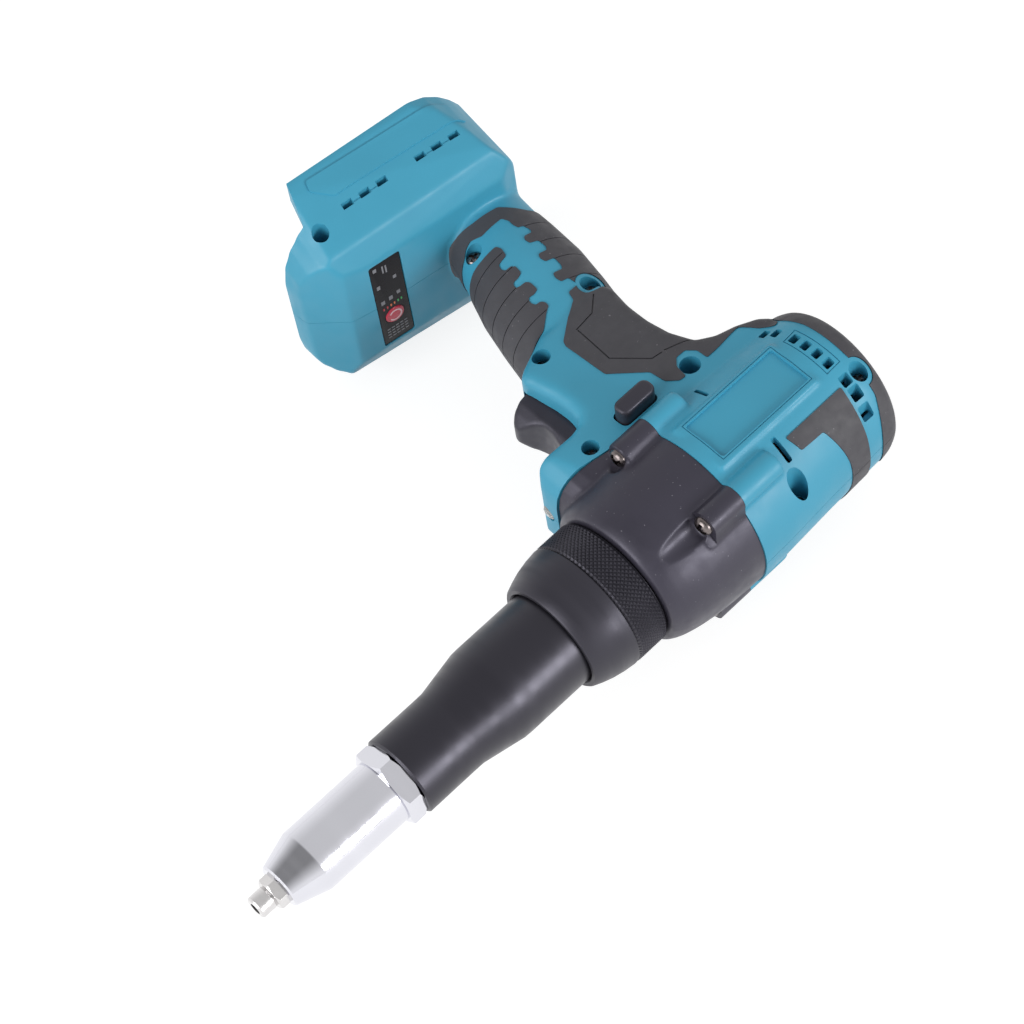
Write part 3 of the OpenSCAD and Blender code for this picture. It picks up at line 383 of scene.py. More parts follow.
# outlines on the right side, counted from the knurl; the left side mirrors them
patterns = {
    "rear": [(-48.5, -110.4), (-53.3, -110.4), (-56.1, -109.2), (-61.1, -107.1), (-69.4, -105.4), (-75.6, -99.8),
        (-86, -97), (-92, -80), (-92, -55), (-91.2, -30), (-91.2, -15), (-89.7, -14.2), (-86.2, -17.5),
        (-83.1, -22.6), (-74.4, -21.7), (-69.9, -21.7), (-69.9, -25.6), (-67.8, -28.3), (-64.4, -28.4), (-62.2, -26),
        (-61.5, -21.8), (-59.4, -22), (-56.6, -25.1), (-56.2, -30.6), (-47.9, -40), (-47.9, -55.7), (-48.6, -57.4),
        (-55.6, -62.6), (-60, -65.3), (-61.1, -66), (-62, -68.8), (-65.2, -69), (-66, -70.1), (-65.6, -72.6),
        (-63.2, -73), (-62.9, -75.1), (-63.5, -76.6), (-66.6, -76), (-67.5, -77.4), (-67.8, -80.5), (-65, -81.2),
        (-64.7, -83.2), (-65.4, -84.4), (-68.2, -83.9), (-69.1, -85.2), (-69.1, -88.3), (-66.6, -89.2), (-66.4, -91),
        (-67.1, -92.1), (-69.8, -91.7), (-70.4, -92.9), (-69.8, -95.3), (-68.3, -95.8), (-68, -97.4), (-68.2, -99.6),
        (-67.3, -101.7), (-59.6, -102), (-56.9, -104.2), (-54.7, -104.2), (-52.9, -103.2), (-48.5, -103.2)],
    "finger": [(-30, -98.4), (-50.9, -97.6), (-54.4, -96.7), (-59.3, -95.9), (-59.8, -93.9), (-59, -91.2),
        (-55.7, -91), (-54.9, -89.4), (-55.3, -87.8), (-57.2, -87.5), (-58, -86.4), (-57.6, -83.6), (-55.7, -83),
        (-54, -83.3), (-53.1, -81.8), (-54, -80.8), (-56.2, -80.4), (-56.9, -79.2), (-56.7, -76.1), (-55, -75.6),
        (-53.2, -76.2), (-52.3, -74.6), (-52.7, -72.9), (-54.4, -72.5), (-55.1, -71.2), (-54.9, -69.7),
        (-53.2, -68.9), (-48.5, -65.5), (-44.7, -64.6), (-41.3, -64.3), (-38, -63.6), (-30, -63.6)],
    "accent": [(-85.9, 13.5), (-63.8, 13.7), (-65.5, 18), (-73.9, 18.1), (-77.4, 25), (-77.7, 31), (-83.6, 31),
        (-85.2, 24)],
    "bumper": [(-91.7, -40), (-91.7, -15.2), (-93, -6.8), (-93.6, 10.6), (-93.4, 19.6), (-91.4, 23.4), (-89.6, 26.6),
        (-88.4, 40), (-110, 40), (-110, -40)],
}
skinDepths = {"proud": 0.3, "deep": 1.25, "gap": 0.3, "groove": 0.36, "line": 0.3, "raised": 0.45, "recess": 1.2}
ribSetup = {"rear": (57, 49.6, 42.2, 34), "finger": (53, 47, 41, 35, 29), "width": 0.26, "facet": 0.4, "tilt": 5,
    "reach": 40, "back": -4}
facetLines = [[(-54.2, -57), (-52.7, -43), (-60, -33.6), (-63.3, -33)], [(-64.2, -33), (-71.1, -30.4), (-80, -27.6)],
    [(-53.8, -57.6), (-60.8, -58.4), (-66, -63)]]
screwHoles = {  # place, height of the screw head's seat, hole radius
    "grip foot": (-55, -101.1, 8, 2.6), "grip back": (-69.2, -67.6, 8, 3), "under trigger": (-41, -58.7, 9.7, 2.8),
    "chin": (-27.4, -25.2, 14.6, 2.6),
    "neck": (-65, -23.6, 8, 3.1), "motor": (-59.3, 22, 3, 2.9), "foot": (-21.9, -126.5, 10, 2.5),
    "tail": (-93.3, 13.2, 17, 2.7),
}
holeRims = {"cover": 1.1, "coverDeep": 4, "pillar": 1.4, "pillarDeep": 1}  # walls round the holes and below the seats
ventSetup = [(-85.3, -14.4, 3.2, 2.2), (-86.7, -11.3, 3.2, 2.2), (-87.5, -5.1, 3.2, 2.5), (-87.7, -1.1, 3.2, 2.5),
    (-87.9, 2.9, 3.2, 2.5), (-88, 6.9, 3.2, 2.5), (-88.5, 12.9, 3.4, 3), (-88.7, 16.5, 3.8, 3.2),
    (-88.3, 20.5, 4, 2.8)]
cutFloors = {"vent": 12, "slit": 16, "slot": 28, "mould": 14, "skirt": 30}  # where side cutters start
slitSetup = [(-60.8, 14.8, 1.8, 6.8), (-59, -13.3, 1.2, 5.2)]
footSlots = {"u": (11, 5, -1, -14.4, -20.2, -26.2), "v": 12.1, "long": 3.5, "high": 1.7, "line": 0.2}


def rectangle(x, y, long, high):
    return [(x - long / 2, y - high / 2), (x + long / 2, y - high / 2), (x + long / 2, y + high / 2),
        (x - long / 2, y + high / 2)]


skin = offsetOf(shell, "skin", skinDepths["proud"])
core = offsetOf(shell, "core", -skinDepths["deep"])
cutWith(skin, core, keepTool=True)
grooveCore = offsetOf(shell, "grooveCore", skinDepths["proud"] - skinDepths["groove"])
lineCore = offsetOf(shell, "lineCore", -skinDepths["line"])
raised = offsetOf(shell, "raised", skinDepths["raised"])
cutWith(raised, core, keepTool=True)
recess = offsetOf(shell, "recess", skinDepths["recess"])
cutWith(recess, core)
bm = bmesh.new()
for outline in patterns.values():
    prismShape(bm, outline, -far, far, sideShift, corners=0.5)
cutWith(recess, newPiece("recessOutline", bm), "INTERSECT")
bm = bmesh.new()
for x, y, seat, radius in (screwHoles["grip back"], screwHoles["tail"]):
    rodShape(bm, (knurlX + x, y, seat - holeRims["coverDeep"]), (knurlX + x, y, far), radius + holeRims["cover"], 48)
coverBosses = newPiece("coverBosses", bm)
cutWith(recess, coverBosses, keepTool=True)
cutWith(shell, recess)
print("recesses cut")

# soft grips, accents and tail bumpers lie in the recesses
bm = bmesh.new()
f = ribSetup
for drop in f["rear"]:
    boxShape(bm, (-f["reach"], -drop - f["width"], -f["reach"]), (f["back"], -drop, f["reach"]), handleTurn)
fingerTurn = handleTurn @ Matrix.Rotation(math.radians(f["tilt"]), 4, "Z")
for drop in f["finger"]:
    boxShape(bm, (0, -drop - f["width"], -f["reach"]), (f["reach"], -drop, f["reach"]), fingerTurn)
for points in facetLines:
    bothSides(bm, lineShape, points, f["facet"], 4, far, place=sideShift)
ribs = newPiece("ribCuts", bm)
cutWith(ribs, grooveCore)
covers = {}
for side, turn in (("right", Matrix.Identity(4)), ("left", flipZ)):
    for kind, names in (("grip", ("rear", "finger")), ("accent", ("accent",)), ("bumper", ("bumper",))):
        piece = copyOf(skin, kind + side.title())
        bm = bmesh.new()
        for name in names:
            prismShape(bm, patterns[name], 0.1, far, turn @ sideShift, corners=0.5, inset=skinDepths["gap"])
        cutWith(piece, newPiece("outline", bm), "INTERSECT")
        if kind == "grip":
            cutWith(piece, ribs, keepTool=True)
        if kind != "accent" and side == "right":
            cutWith(piece, offsetOf(coverBosses, "coverHoles", skinDepths["gap"]))
        covers[kind + "_" + side] = piece
for spare in (skin, ribs, coverBosses):
    discard(spare)
print("soft covers made")

# hollow of the housing, so the vents, the bay and the openings show what lies inside
motorHollow = [(-41, 0), (-41, 24.7), (-60, 24.4), (-91, 23), (-91, 0)]
hollow = pieceOf("hollow", turnedShape, fromKnurl(motorHollow), 96)
cutWith(hollow, neckPiece("neckHollow", hollowForm), "UNION")
cutWith(hollow, pieceOf("handleHollow", handleShape, -skinSetup["wall"]), "UNION")
cutWith(hollow, footPiece("footHollow", hollowForm), "UNION")
cutWith(shell, hollow)
bayForm = {"rear": -31, "front": 50, "half": 31.5, "low": -5, "high": 10, "rail": 2.5, "railLow": 2.6,
    "railHigh": 5.2, "railFront": 19.4}
cutWith(shell, pieceOf("skirtEdge", prismShape, footForm["under"], -far, far, footTurn))
f = bayForm
bayBox = (f["rear"], f["low"], -f["half"]), (f["front"], f["high"], f["half"])
cutWith(shell, pieceOf("bay", boxShape, *bayBox, footTurn))
railBox = (f["rear"] - 0.5, f["railLow"], f["half"] - f["rail"]), (f["railFront"], f["railHigh"], f["half"] + 1)
cutWith(shell, pieceOf("rails", bothSides, boxShape, *railBox, place=footTurn), "UNION")
# a pillar carries each screw of the halves
bm = bmesh.new()
for x, y, seat, radius in screwHoles.values():
    low, high = seat - holeRims["pillarDeep"], far
    rodShape(bm, (knurlX + x, y, low), (knurlX + x, y, high), radius + holeRims["pillar"], 40)
pillars = newPiece("pillars", bm)
cutWith(pillars, lineCore, "INTERSECT", keepTool=True)
cutWith(shell, pillars, "UNION")
print("housing hollowed")

# openings of the housing
openings = {"caseLine": [(-41.2, 60), (-41.2, -20.5), (-30, -20.9), (-12.5, -24.3), (5, -24.5), (5, 60)],
    "trigger": ((-60, -57.9, -9.5), (-20, -33.4, 9.5)), "lever": ((-51.7, -28.2), (-38.3, -22.2)),
    "led": (-28.5, 2.5), "panel": (4.5, 15.1, 19.5, 24.25), "panelClear": 0.3, "button": (9.8, -7.5, 3.4),
    "buttonSpan": (20, 30), "plate": (-63.6, -0.3, 34, 14.4, 26.0)}
cutWith(shell, pieceOf("caseOpening", prismShape, openings["caseLine"], -far, far, sideShift))
bm = bmesh.new()
boxShape(bm, *openings["trigger"], place=sideShift)
(x0, y0), (x1, y1) = openings["lever"]
prismShape(bm, rectangle((x0 + x1) / 2, (y0 + y1) / 2, x1 - x0, y1 - y0), -far, far, sideShift, corners=1.8)
rodShape(bm, (knurlX - 20, openings["led"][0], 0), (knurlX - 5, openings["led"][0], 0), openings["led"][1])
for x, y, seat, radius in screwHoles.values():
    rodShape(bm, (knurlX + x, y, seat), (knurlX + x, y, far), radius, 40)
for x, y, long, high in ventSetup:
    bothSides(bm, prismShape, rectangle(x, y, long, high), cutFloors["vent"], far, place=sideShift, corners=0.5)
for x, y, long, high in slitSetup:
    bothSides(bm, prismShape, rectangle(x, y, long, high), cutFloors["slit"], far, place=sideShift, corners=0.5)
for u in footSlots["u"]:
    slot = rectangle(u, footSlots["v"], footSlots["long"], footSlots["high"])
    bothSides(bm, prismShape, slot, cutFloors["slot"], far, place=footTurn)
x, y, long, high, floor = openings["plate"]
bothSides(bm, prismShape, rectangle(x, y, long, high), floor, far, place=sideShift, corners=1)
u0, u1, half, v = openings["panel"]
clear = openings["panelClear"]
prismShape(bm, rectangle((u0 + u1) / 2, 0, u1 - u0 + clear, 2 * half + clear), v, far, footTurn @ alongY, corners=1)
cutWith(shell, newPiece("openings", bm))
u, z, radius = openings["button"]
spots = [footTurn @ Vector((u, v, z)) for v in openings["buttonSpan"]]
cutWith(shell, pieceOf("buttonHole", rodShape, *spots, radius))

# raised plate on each side of the skirt, fine mould lines, and the seam between the halves
skirtPlate = [(17.4, 1.4), (18.2, 4.4), (12.8, 8.7), (-13.1, 8.7), (-33, 8.7), (-33, 1.4)]  # along and up the foot
mouldLines = {"vent frame": [(-84.9, -7), (-90.2, -7.4), (-91, 8.8), (-85.4, 9)],
    "plate frame": [(-81.2, -8.2), (-81.2, 7.6), (-46, 7.6), (-46, -8.2)]}
lineWidths = {"frame": 0.3, "slot": 0.4}
seam = 0.07  # half the gap between the halves
outline = pieceOf("raisedOutline", bothSides, prismShape, skirtPlate, cutFloors["skirt"], far, place=footTurn,
    corners=0.8)
cutWith(raised, outline, "INTERSECT")
cutWith(shell, raised, "UNION")
bm = bmesh.new()
for points in mouldLines.values():
    bothSides(bm, lineShape, points, lineWidths["frame"], cutFloors["mould"], far, place=sideShift, closed=True)
for us in (footSlots["u"][:3], footSlots["u"][3:]):
    points = [(u, footSlots["v"] + footSlots["line"]) for u in (us[0], us[2])]
    bothSides(bm, lineShape, points, lineWidths["slot"], cutFloors["slot"], far, place=footTurn)
lines = newPiece("mouldLines", bm)
cutWith(lines, lineCore)
cutWith(shell, lines)
halves = {}
for side, low, high in (("right", seam, far), ("left", -far, -seam)):
    half = copyOf(shell, "housing" + side.title())
    space = pieceOf("halfSpace", boxShape, (-400, -300, low), (100, 100, high))
    halves["housing_" + side] = cutWith(half, space, "INTERSECT")
discard(shell)
print("housing halves", [len(h.data.polygons) for h in halves.values()])

# gear case: turned body, saddle on the chin, four bosses with troughs for the screws
caseForm = {
    "profile": [(3.8, 6.5), (3.8, 17.6), (-9.8, 17.6), (-9.8, 21.4), (-10.4, 22.2), (-12, 23.1), (-14, 23.9),
        (-17, 24.7), (-20, 25.3), (-24, 25.9), (-30, 26.4), (-36, 26.7), (-43, 26.8), (-43, 21.05), (-17.4, 21.05),
        (-17.4, 11.05), (-9.9, 11.05), (-9.9, 6.5)],
    "saddle": [(-43, 20.4), (-25, 20.2), (-20.6, 19.4), (-17, 17.4), (-14.6, 14.8), (-13.2, 11.4), (-12.6, 7.4)],
    "under": [(-60, -20.3), (-30, -20.6), (-12.5, -24.0), (10, -24.2), (10, -60), (-60, -60)],
    "saddleLow": -27, "saddleHigh": -17.5, "blankRear": -43, "rear": -41.08, "voxel": 0.5,
    # upper (1) and lower (-1) bosses: how far the blank leads the front face, and the troughs
    "bossFront": -29.7, "bossR": 4.3, "bossLead": {1: 2, -1: 0.3}, "web": 0.66,
    "troughs": {1: -17, -1: -27.2}, "troughR": {1: 4.1, -1: 3.1}, "troughOut": 0.5,
    "ringFront": -24, "ringR": (26.5, 44),
}
f = caseForm
bm = bmesh.new()
turnedShape(bm, fromKnurl(f["profile"]), 128, closed=True)
saddle = bmesh.new()
prismShape(saddle, mirrored(f["saddle"]), f["saddleLow"], f["saddleHigh"], sideShift @ alongY)
addWork(bm, saddle)
for sy, sz in bossSides:
    y, z = sy * motorForm["bossY"], sz * motorForm["bossZ"]
    rear, front = knurlX + f["blankRear"], knurlX + f["bossFront"] + f["bossLead"][sy]
    rodShape(bm, (rear, y, z), (front, y, z), f["bossR"])
    if sy > 0:  # a web joins the upper bosses to the body
        low, high = sorted((f["web"] * z, z + 0.1 * sz))
        boxShape(bm, (rear, y - 1, low), (front, y + f["bossR"] - 0.1, high))
gearCase = skinned(newPiece("gearCase", bm), f["voxel"], 1)
bm = bmesh.new()
for sy, sz in bossSides:
    y, z = sy * motorForm["bossY"], sz * (motorForm["bossZ"] + f["troughOut"])
    rodShape(bm, (knurlX + f["bossFront"] + 1, y, z), (knurlX + f["troughs"][sy], y, z), f["troughR"][sy])
cutWith(gearCase, newPiece("troughs", bm))
bm = bmesh.new()
for sy, sz in bossSides:
    y, z = sy * motorForm["bossY"], sz * (motorForm["bossZ"] + f["troughOut"])
    ball = Matrix.Translation((knurlX + f["troughs"][sy], y, z))
    bmesh.ops.create_uvsphere(bm, u_segments=32, v_segments=16, radius=f["troughR"][sy], matrix=ball)
cutWith(gearCase, newPiece("troughEnds", bm))
skinned(gearCase, f["voxel"], 5)
bm = bmesh.new()
prismShape(bm, f["under"], -far, far, sideShift)
boxShape(bm, (knurlX - far, -20, -far), (knurlX + f["rear"], far, far))
cutWith(gearCase, newPiece("caseEnds", bm))
low, high = f["ringR"]
ring = [(f["bossFront"], low), (f["bossFront"], high), (f["ringFront"], high), (f["ringFront"], low)]
bossFronts = pieceOf("bossFronts", turnedShape, fromKnurl(ring), 96, closed=True)
cutWith(bossFronts, pieceOf("saddleSpace", boxShape, (knurlX - far, -far, -far), (knurlX, 0, far)))
cutWith(gearCase, bossFronts)
print("gear case,", len(gearCase.data.polygons), "faces")

# pan-head cross screws of the gear case and, a size smaller, of the housing
screwForm = {"headR": 2.9, "headHigh": 2.1, "shankR": 1.8, "shankLong": 17.6, "crossWide": 1.2, "crossLong": 4.4,
    "crossFloor": 0.5, "crossTurn": 20, "shrink": 0.8}
f = screwForm
profile = [(-f["shankLong"], 0), (-f["shankLong"], f["shankR"]), (0, f["shankR"]), (0, f["headR"]), (0.6, f["headR"]),
    (1.2, f["headR"] - 0.25), (1.7, f["headR"] - 0.8), (f["headHigh"], 1.2), (f["headHigh"], 0)]
screw = pieceOf("screw", turnedShape, profile, 40)
half, reach = f["crossWide"] / 2, f["crossLong"] / 2
cross = [(half, half), (half, reach), (-half, reach), (-half, half), (-reach, half), (-reach, -half), (-half, -half),
    (-half, -reach), (half, -reach), (half, -half), (reach, -half), (reach, half)]
turn = alongX @ Matrix.Rotation(math.radians(f["crossTurn"]), 4, "Z")
cutWith(screw, pieceOf("cross", prismShape, cross, f["crossFloor"], 4, turn))
bm = bmesh.new()
for sy, sz in bossSides:
    work = workOf(screw)
    turn = Matrix.Rotation(math.radians(25 * sy + 40 * sz), 3, "X")
    bmesh.ops.rotate(work, cent=(0, 0, 0), matrix=turn, verts=work.verts)
    spot = (knurlX + caseForm["bossFront"], sy * motorForm["bossY"], sz * motorForm["bossZ"])
    bmesh.ops.translate(work, vec=spot, verts=work.verts)
    addWork(bm, work)
caseScrews = newPiece("gearCaseScrews", bm)
bm = bmesh.new()
for n, (x, y, seat, _) in enumerate(screwHoles.values()):
    work = workOf(screw, f["shrink"])
    turn = Matrix.Rotation(math.radians(37 * n), 4, "Z") @ Matrix.Rotation(math.radians(-90), 4, "Y")
    bmesh.ops.transform(work, matrix=Matrix.Translation((knurlX + x, y, seat)) @ turn, verts=work.verts)
    addWork(bm, work)
housingScrews = newPiece("housingScrews", bm)
discard(screw)

# union collar: chamfered cone, fine groove, diamond knurl
collarForm = {"front": -109, "frontR": 17.4, "boreR": 15.25, "knurlR": 20.15, "peak": 0.5, "rear": -133.8,
    "edge": -122.8, "around": 172, "along": 14, "endDrop": 0.35, "gap": 0.2, "innerR": 19.3}
f = collarForm
profile = [(f["front"] - 0.5, f["boreR"]), (f["front"], f["boreR"] + 0.5), (f["front"], f["frontR"] - 0.5),
    (f["front"] - 0.5, f["frontR"]), (f["front"] - 3, 18.4), (f["front"] - 6, 19.35), (f["front"] - 9.6, 20.1),
    (f["edge"] + 0.8, 20.5), (f["edge"] + 0.2, 20.45), (f["edge"], 20.0), (f["edge"] - 0.35, 19.6), (f["rear"], 19.6),
    (f["rear"] - 0.1, 17.9), (f["front"] - 3.6, 17.9), (f["front"] - 3.6, f["boreR"])]
collar = pieceOf("unionCollar", turnedShape, profile, 160, closed=True)
bm = bmesh.new()
bmesh.ops.create_grid(bm, x_segments=f["along"], y_segments=f["around"], size=0.5)
length = f["edge"] - f["rear"] - 2 * f["gap"]
low = {}
for v in bm.verts:
    i = round((v.co.x + 0.5) * f["along"])
    j = round((v.co.y + 0.5) * f["around"])
    peak = (i + j) % 2 == 0 and 0 < i < f["along"]
    low[v] = not peak
    r = f["knurlR"] + (f["peak"] if peak else 0) - (f["endDrop"] if i in (0, f["along"]) else 0)
    a = 2 * math.pi * j / f["around"]
    v.co = (f["edge"] - f["gap"] - length * i / f["along"], r * math.cos(a), r * math.sin(a))
for face in list(bm.faces):
    ends = [v for v in face.verts if low[v]]
    if len(ends) == 2:
        bmesh.utils.face_split(face, ends[0], ends[1])
bmesh.ops.remove_doubles(bm, verts=bm.verts, dist=2 * mergeReach)
for x in (f["edge"] - f["gap"], f["edge"] - f["gap"] - length):
    rim = [e for e in bm.edges if all(abs(v.co.x - x) < 1e-4 for v in e.verts)]
    made = bmesh.ops.extrude_edge_only(bm, edges=rim)["geom"]
    for v in vertsOf(made):
        v.co.y *= f["innerR"] / (f["knurlR"] - f["endDrop"])
        v.co.z *= f["innerR"] / (f["knurlR"] - f["endDrop"])
knurl = newPiece("diamondKnurl", bm)
print("knurl,", len(knurl.data.polygons), "faces")

# barrel, sleeve and nosepiece
barrelForm = [(-51.9, 8.55), (-51.9, 11.7), (-52.5, 12.4), (-70, 12.4), (-72, 12.46), (-85.2, 14.9), (-87.4, 15),
    (-112.4, 15), (-112.4, 17.4), (-120.5, 17.4), (-120.5, 8.55)]
barrel = pieceOf("barrelTube", turnedShape, barrelForm, 128, closed=True)
sleeveForm = {"hexFlat": 10.5, "hexFront": -46.3, "hexRear": -51.85, "hexCorner": 12.0,
    "profile": [(-8.4, 4.2), (-8.4, 6.2), (-8.9, 6.8), (-18.4, 9.75), (-18.7, 9.8), (-46, 9.8), (-46.6, 9.6),
        (-47.4, 9.6), (-47.4, 7.7), (-22, 7.7), (-16, 4.2)]}
f = sleeveForm
sleeve = pieceOf("noseSleeve", turnedShape, f["profile"], 128, closed=True)
hexFlange = pieceOf("hexFlange", hexShape, f)
profile = [(f["hexFront"] + 0.1, 7.7), (f["hexFront"] + 0.1, 10.4), (f["hexFront"] - 0.9, f["hexCorner"] + 0.1),
    (f["hexRear"] + 0.9, f["hexCorner"] + 0.1), (f["hexRear"] - 0.1, 10.6), (f["hexRear"] - 0.1, 7.7)]
cutWith(hexFlange, pieceOf("hexChamfer", turnedShape, profile, 96, closed=True), "INTERSECT")
nosepieceForm = {"tip": [(0, 1.75), (0, 2.9), (-0.5, 3.4), (-4.6, 3.4), (-5.1, 3.15), (-5.4, 3.15), (-5.4, 1.75)],
    "hexFlat": 4.4, "hexFront": -5.1, "hexRear": -8.45}
f = nosepieceForm
noseTip = pieceOf("noseTip", turnedShape, f["tip"], 64, closed=True)
noseHex = pieceOf("noseHex", hexShape, f)
profile = [(f["hexFront"] + 0.1, 1.75), (f["hexFront"] + 0.1, 4.2), (f["hexFront"] - 0.6, 4.95),
    (f["hexRear"] + 0.4, 4.95), (f["hexRear"] - 0.1, 4.5), (f["hexRear"] - 0.1, 1.75)]
cutWith(noseHex, pieceOf("noseChamfer", turnedShape, profile, 64, closed=True), "INTERSECT")
print("nose made")

# trigger, lever, lamp, panel and button
triggerForm = {"side": [(-43, -34.2), (-29.4, -34.4), (-27.6, -35), (-27.2, -37.2), (-27.8, -40), (-28.6, -43),
        (-28.6, -46), (-27.4, -48.6), (-25.6, -50.8), (-24.2, -52.8), (-24.6, -54.8), (-26.4, -56.2), (-29.4, -57),
        (-43, -57.4)],
    "plan": [(-43, 9.3), (-33, 9.3), (-29.6, 8.4), (-26.6, 6.4), (-24.4, 3.6), (-23.6, 1)],
    "half": 12, "stem": ((-49.4, -51.3, -4), (-42.5, -44.4, 4)), "voxel": 0.4, "smoothing": 30}
f = triggerForm
trigger = pieceOf("triggerButton", prismShape, f["side"], -f["half"], f["half"], sideShift)
cutWith(trigger, pieceOf("triggerPlan", prismShape, mirrored(f["plan"]), -70, -30, sideShift @ alongY), "INTERSECT")
cutWith(trigger, pieceOf("triggerStem", boxShape, *f["stem"], place=sideShift), "UNION")
skinned(trigger, f["voxel"], f["smoothing"])
leverForm = {"x": -45, "y": -25.2, "long": 12.8, "high": 5.4, "top": 26, "bottom": -20, "button": 9,
    "stem": ((-50.2, -27.2, -19), (-47.2, -23.6, 25))}
f = leverForm
bm = bmesh.new()
for sz, end in ((1, f["top"]), (-1, -f["bottom"])):
    turn = Matrix.Scale(sz, 4, (0, 0, 1)) @ sideShift
    prismShape(bm, rectangle(f["x"], f["y"], f["long"], f["high"]), end - f["button"], end, turn, corners=2.2,
        rims=1.2)
boxShape(bm, *f["stem"], place=sideShift)
lever = newPiece("directionLever", bm)
lensForm = {"y": -28.5, "profile": [(-16.4, 0), (-16.4, 2.35), (-12.6, 2.35), (-12.1, 2.0), (-11.8, 1.2), (-11.7, 0)]}
bm = bmesh.new()
turnedShape(bm, fromKnurl(lensForm["profile"]), 40)
bmesh.ops.translate(bm, vec=(0, lensForm["y"], 0), verts=bm.verts)
lens = newPiece("ledLens", bm)
panelForm = {"u": 9.8, "wide": 10.6, "long": 39, "top": 24.95, "thick": 0.7, "buttonZ": -7.5, "buttonR": 3.2,
    "buttonClear": 0.2,
    "inkDeep": 0.1, "inkHigh": 0.06, "lightHigh": 0.08, "inkCorner": 0.12,
    "ringX": 25.25, "ringR": (1.75, 2.3), "ringStart": 0.5, "ringAngle": 5.2, "ringHigh": 0.14}
f = panelForm
panel = pieceOf("membranePanel", prismShape, rectangle(f["u"], 0, f["wide"], f["long"]), f["top"] - f["thick"],
    f["top"], footTurn @ alongY, corners=1, rims=0.2)
spots = [footTurn @ Vector((f["u"], v, f["buttonZ"])) for v in openings["buttonSpan"]]
cutWith(panel, pieceOf("panelHole", rodShape, *spots, f["buttonR"] + f["buttonClear"], 48))
# generic marks: icon squares, rows of short bars, and a row of charge lights; place across and along the panel, size
panelMarks = [(3.5, 17, 1.2, 1.6)] + [(0.9 - 1.1 * i, 15.4 - 0.3 * i, 0.5, 3.4) for i in range(2)]
panelMarks += [(3.4, 8.4, 1.1, 1.7), (-2.4, 9.4, 1.1, 1.5), (3, 0.5, 1.3, 1.7), (0.2, 0.9, 1.3, 1.7),
    (-2.6, 1.6, 1.2, 1.5)]
panelMarks += [(3 - 1.5 * i, -13 - 1.3 * j, 1.1, 0.5) for i in range(5) for j in range(4)]
bm = bmesh.new()
for across, along, wide, long in panelMarks:
    prismShape(bm, rectangle(f["u"] + across, along, wide, long), f["top"] - f["inkDeep"], f["top"] + f["inkHigh"],
        footTurn @ alongY, corners=f["inkCorner"])
marks = newPiece("panelMarks", bm)
lights = {}
for name, spots in (("red", (3.2, 1.9)), ("orange", (0.6, -0.6)), ("green", (-1.9, -3.1))):
    bm = bmesh.new()
    for across in spots:
        light = rectangle(f["u"] + across, -2.4 - 0.1 * across, 0.5, 1.1)
        prismShape(bm, light, f["top"] - f["inkDeep"], f["top"] + f["lightHigh"], footTurn @ alongY,
            corners=f["inkCorner"])
    lights[name] = newPiece(name + "Lights", bm)
upFoot = Matrix(((0, 1, 0, 0), (1, 0, 0, 0), (0, 0, -1, 0), (0, 0, 0, 1)))  # a turned shape stands on the foot
toFoot = footTurn @ Matrix.Translation((f["u"], 0, f["buttonZ"])) @ upFoot
bm = bmesh.new()
dome = [(24.2, 0), (24.2, f["buttonR"]), (25.0, f["buttonR"]), (25.25, f["buttonR"] - 0.3), (25.38, 1.6), (25.42, 0)]
turnedShape(bm, dome, 48)
bmesh.ops.transform(bm, matrix=toFoot, verts=bm.verts)
button = newPiece("powerButton", bm)
bm = bmesh.new()
ring = [bm.verts.new((f["ringX"], r * math.cos(f["ringStart"]), r * math.sin(f["ringStart"]))) for r in f["ringR"]]
edge = bm.edges.new(ring)
bmesh.ops.spin(bm, geom=ring + [edge], cent=(0, 0, 0), axis=(1, 0, 0), angle=f["ringAngle"], steps=40)
grown = bmesh.ops.extrude_face_region(bm, geom=list(bm.faces))["geom"]
bmesh.ops.translate(bm, verts=vertsOf(grown), vec=(f["ringHigh"], 0, 0))
bmesh.ops.transform(bm, matrix=toFoot, verts=bm.verts)
buttonRing = newPiece("powerSymbol", bm)
print("controls made")

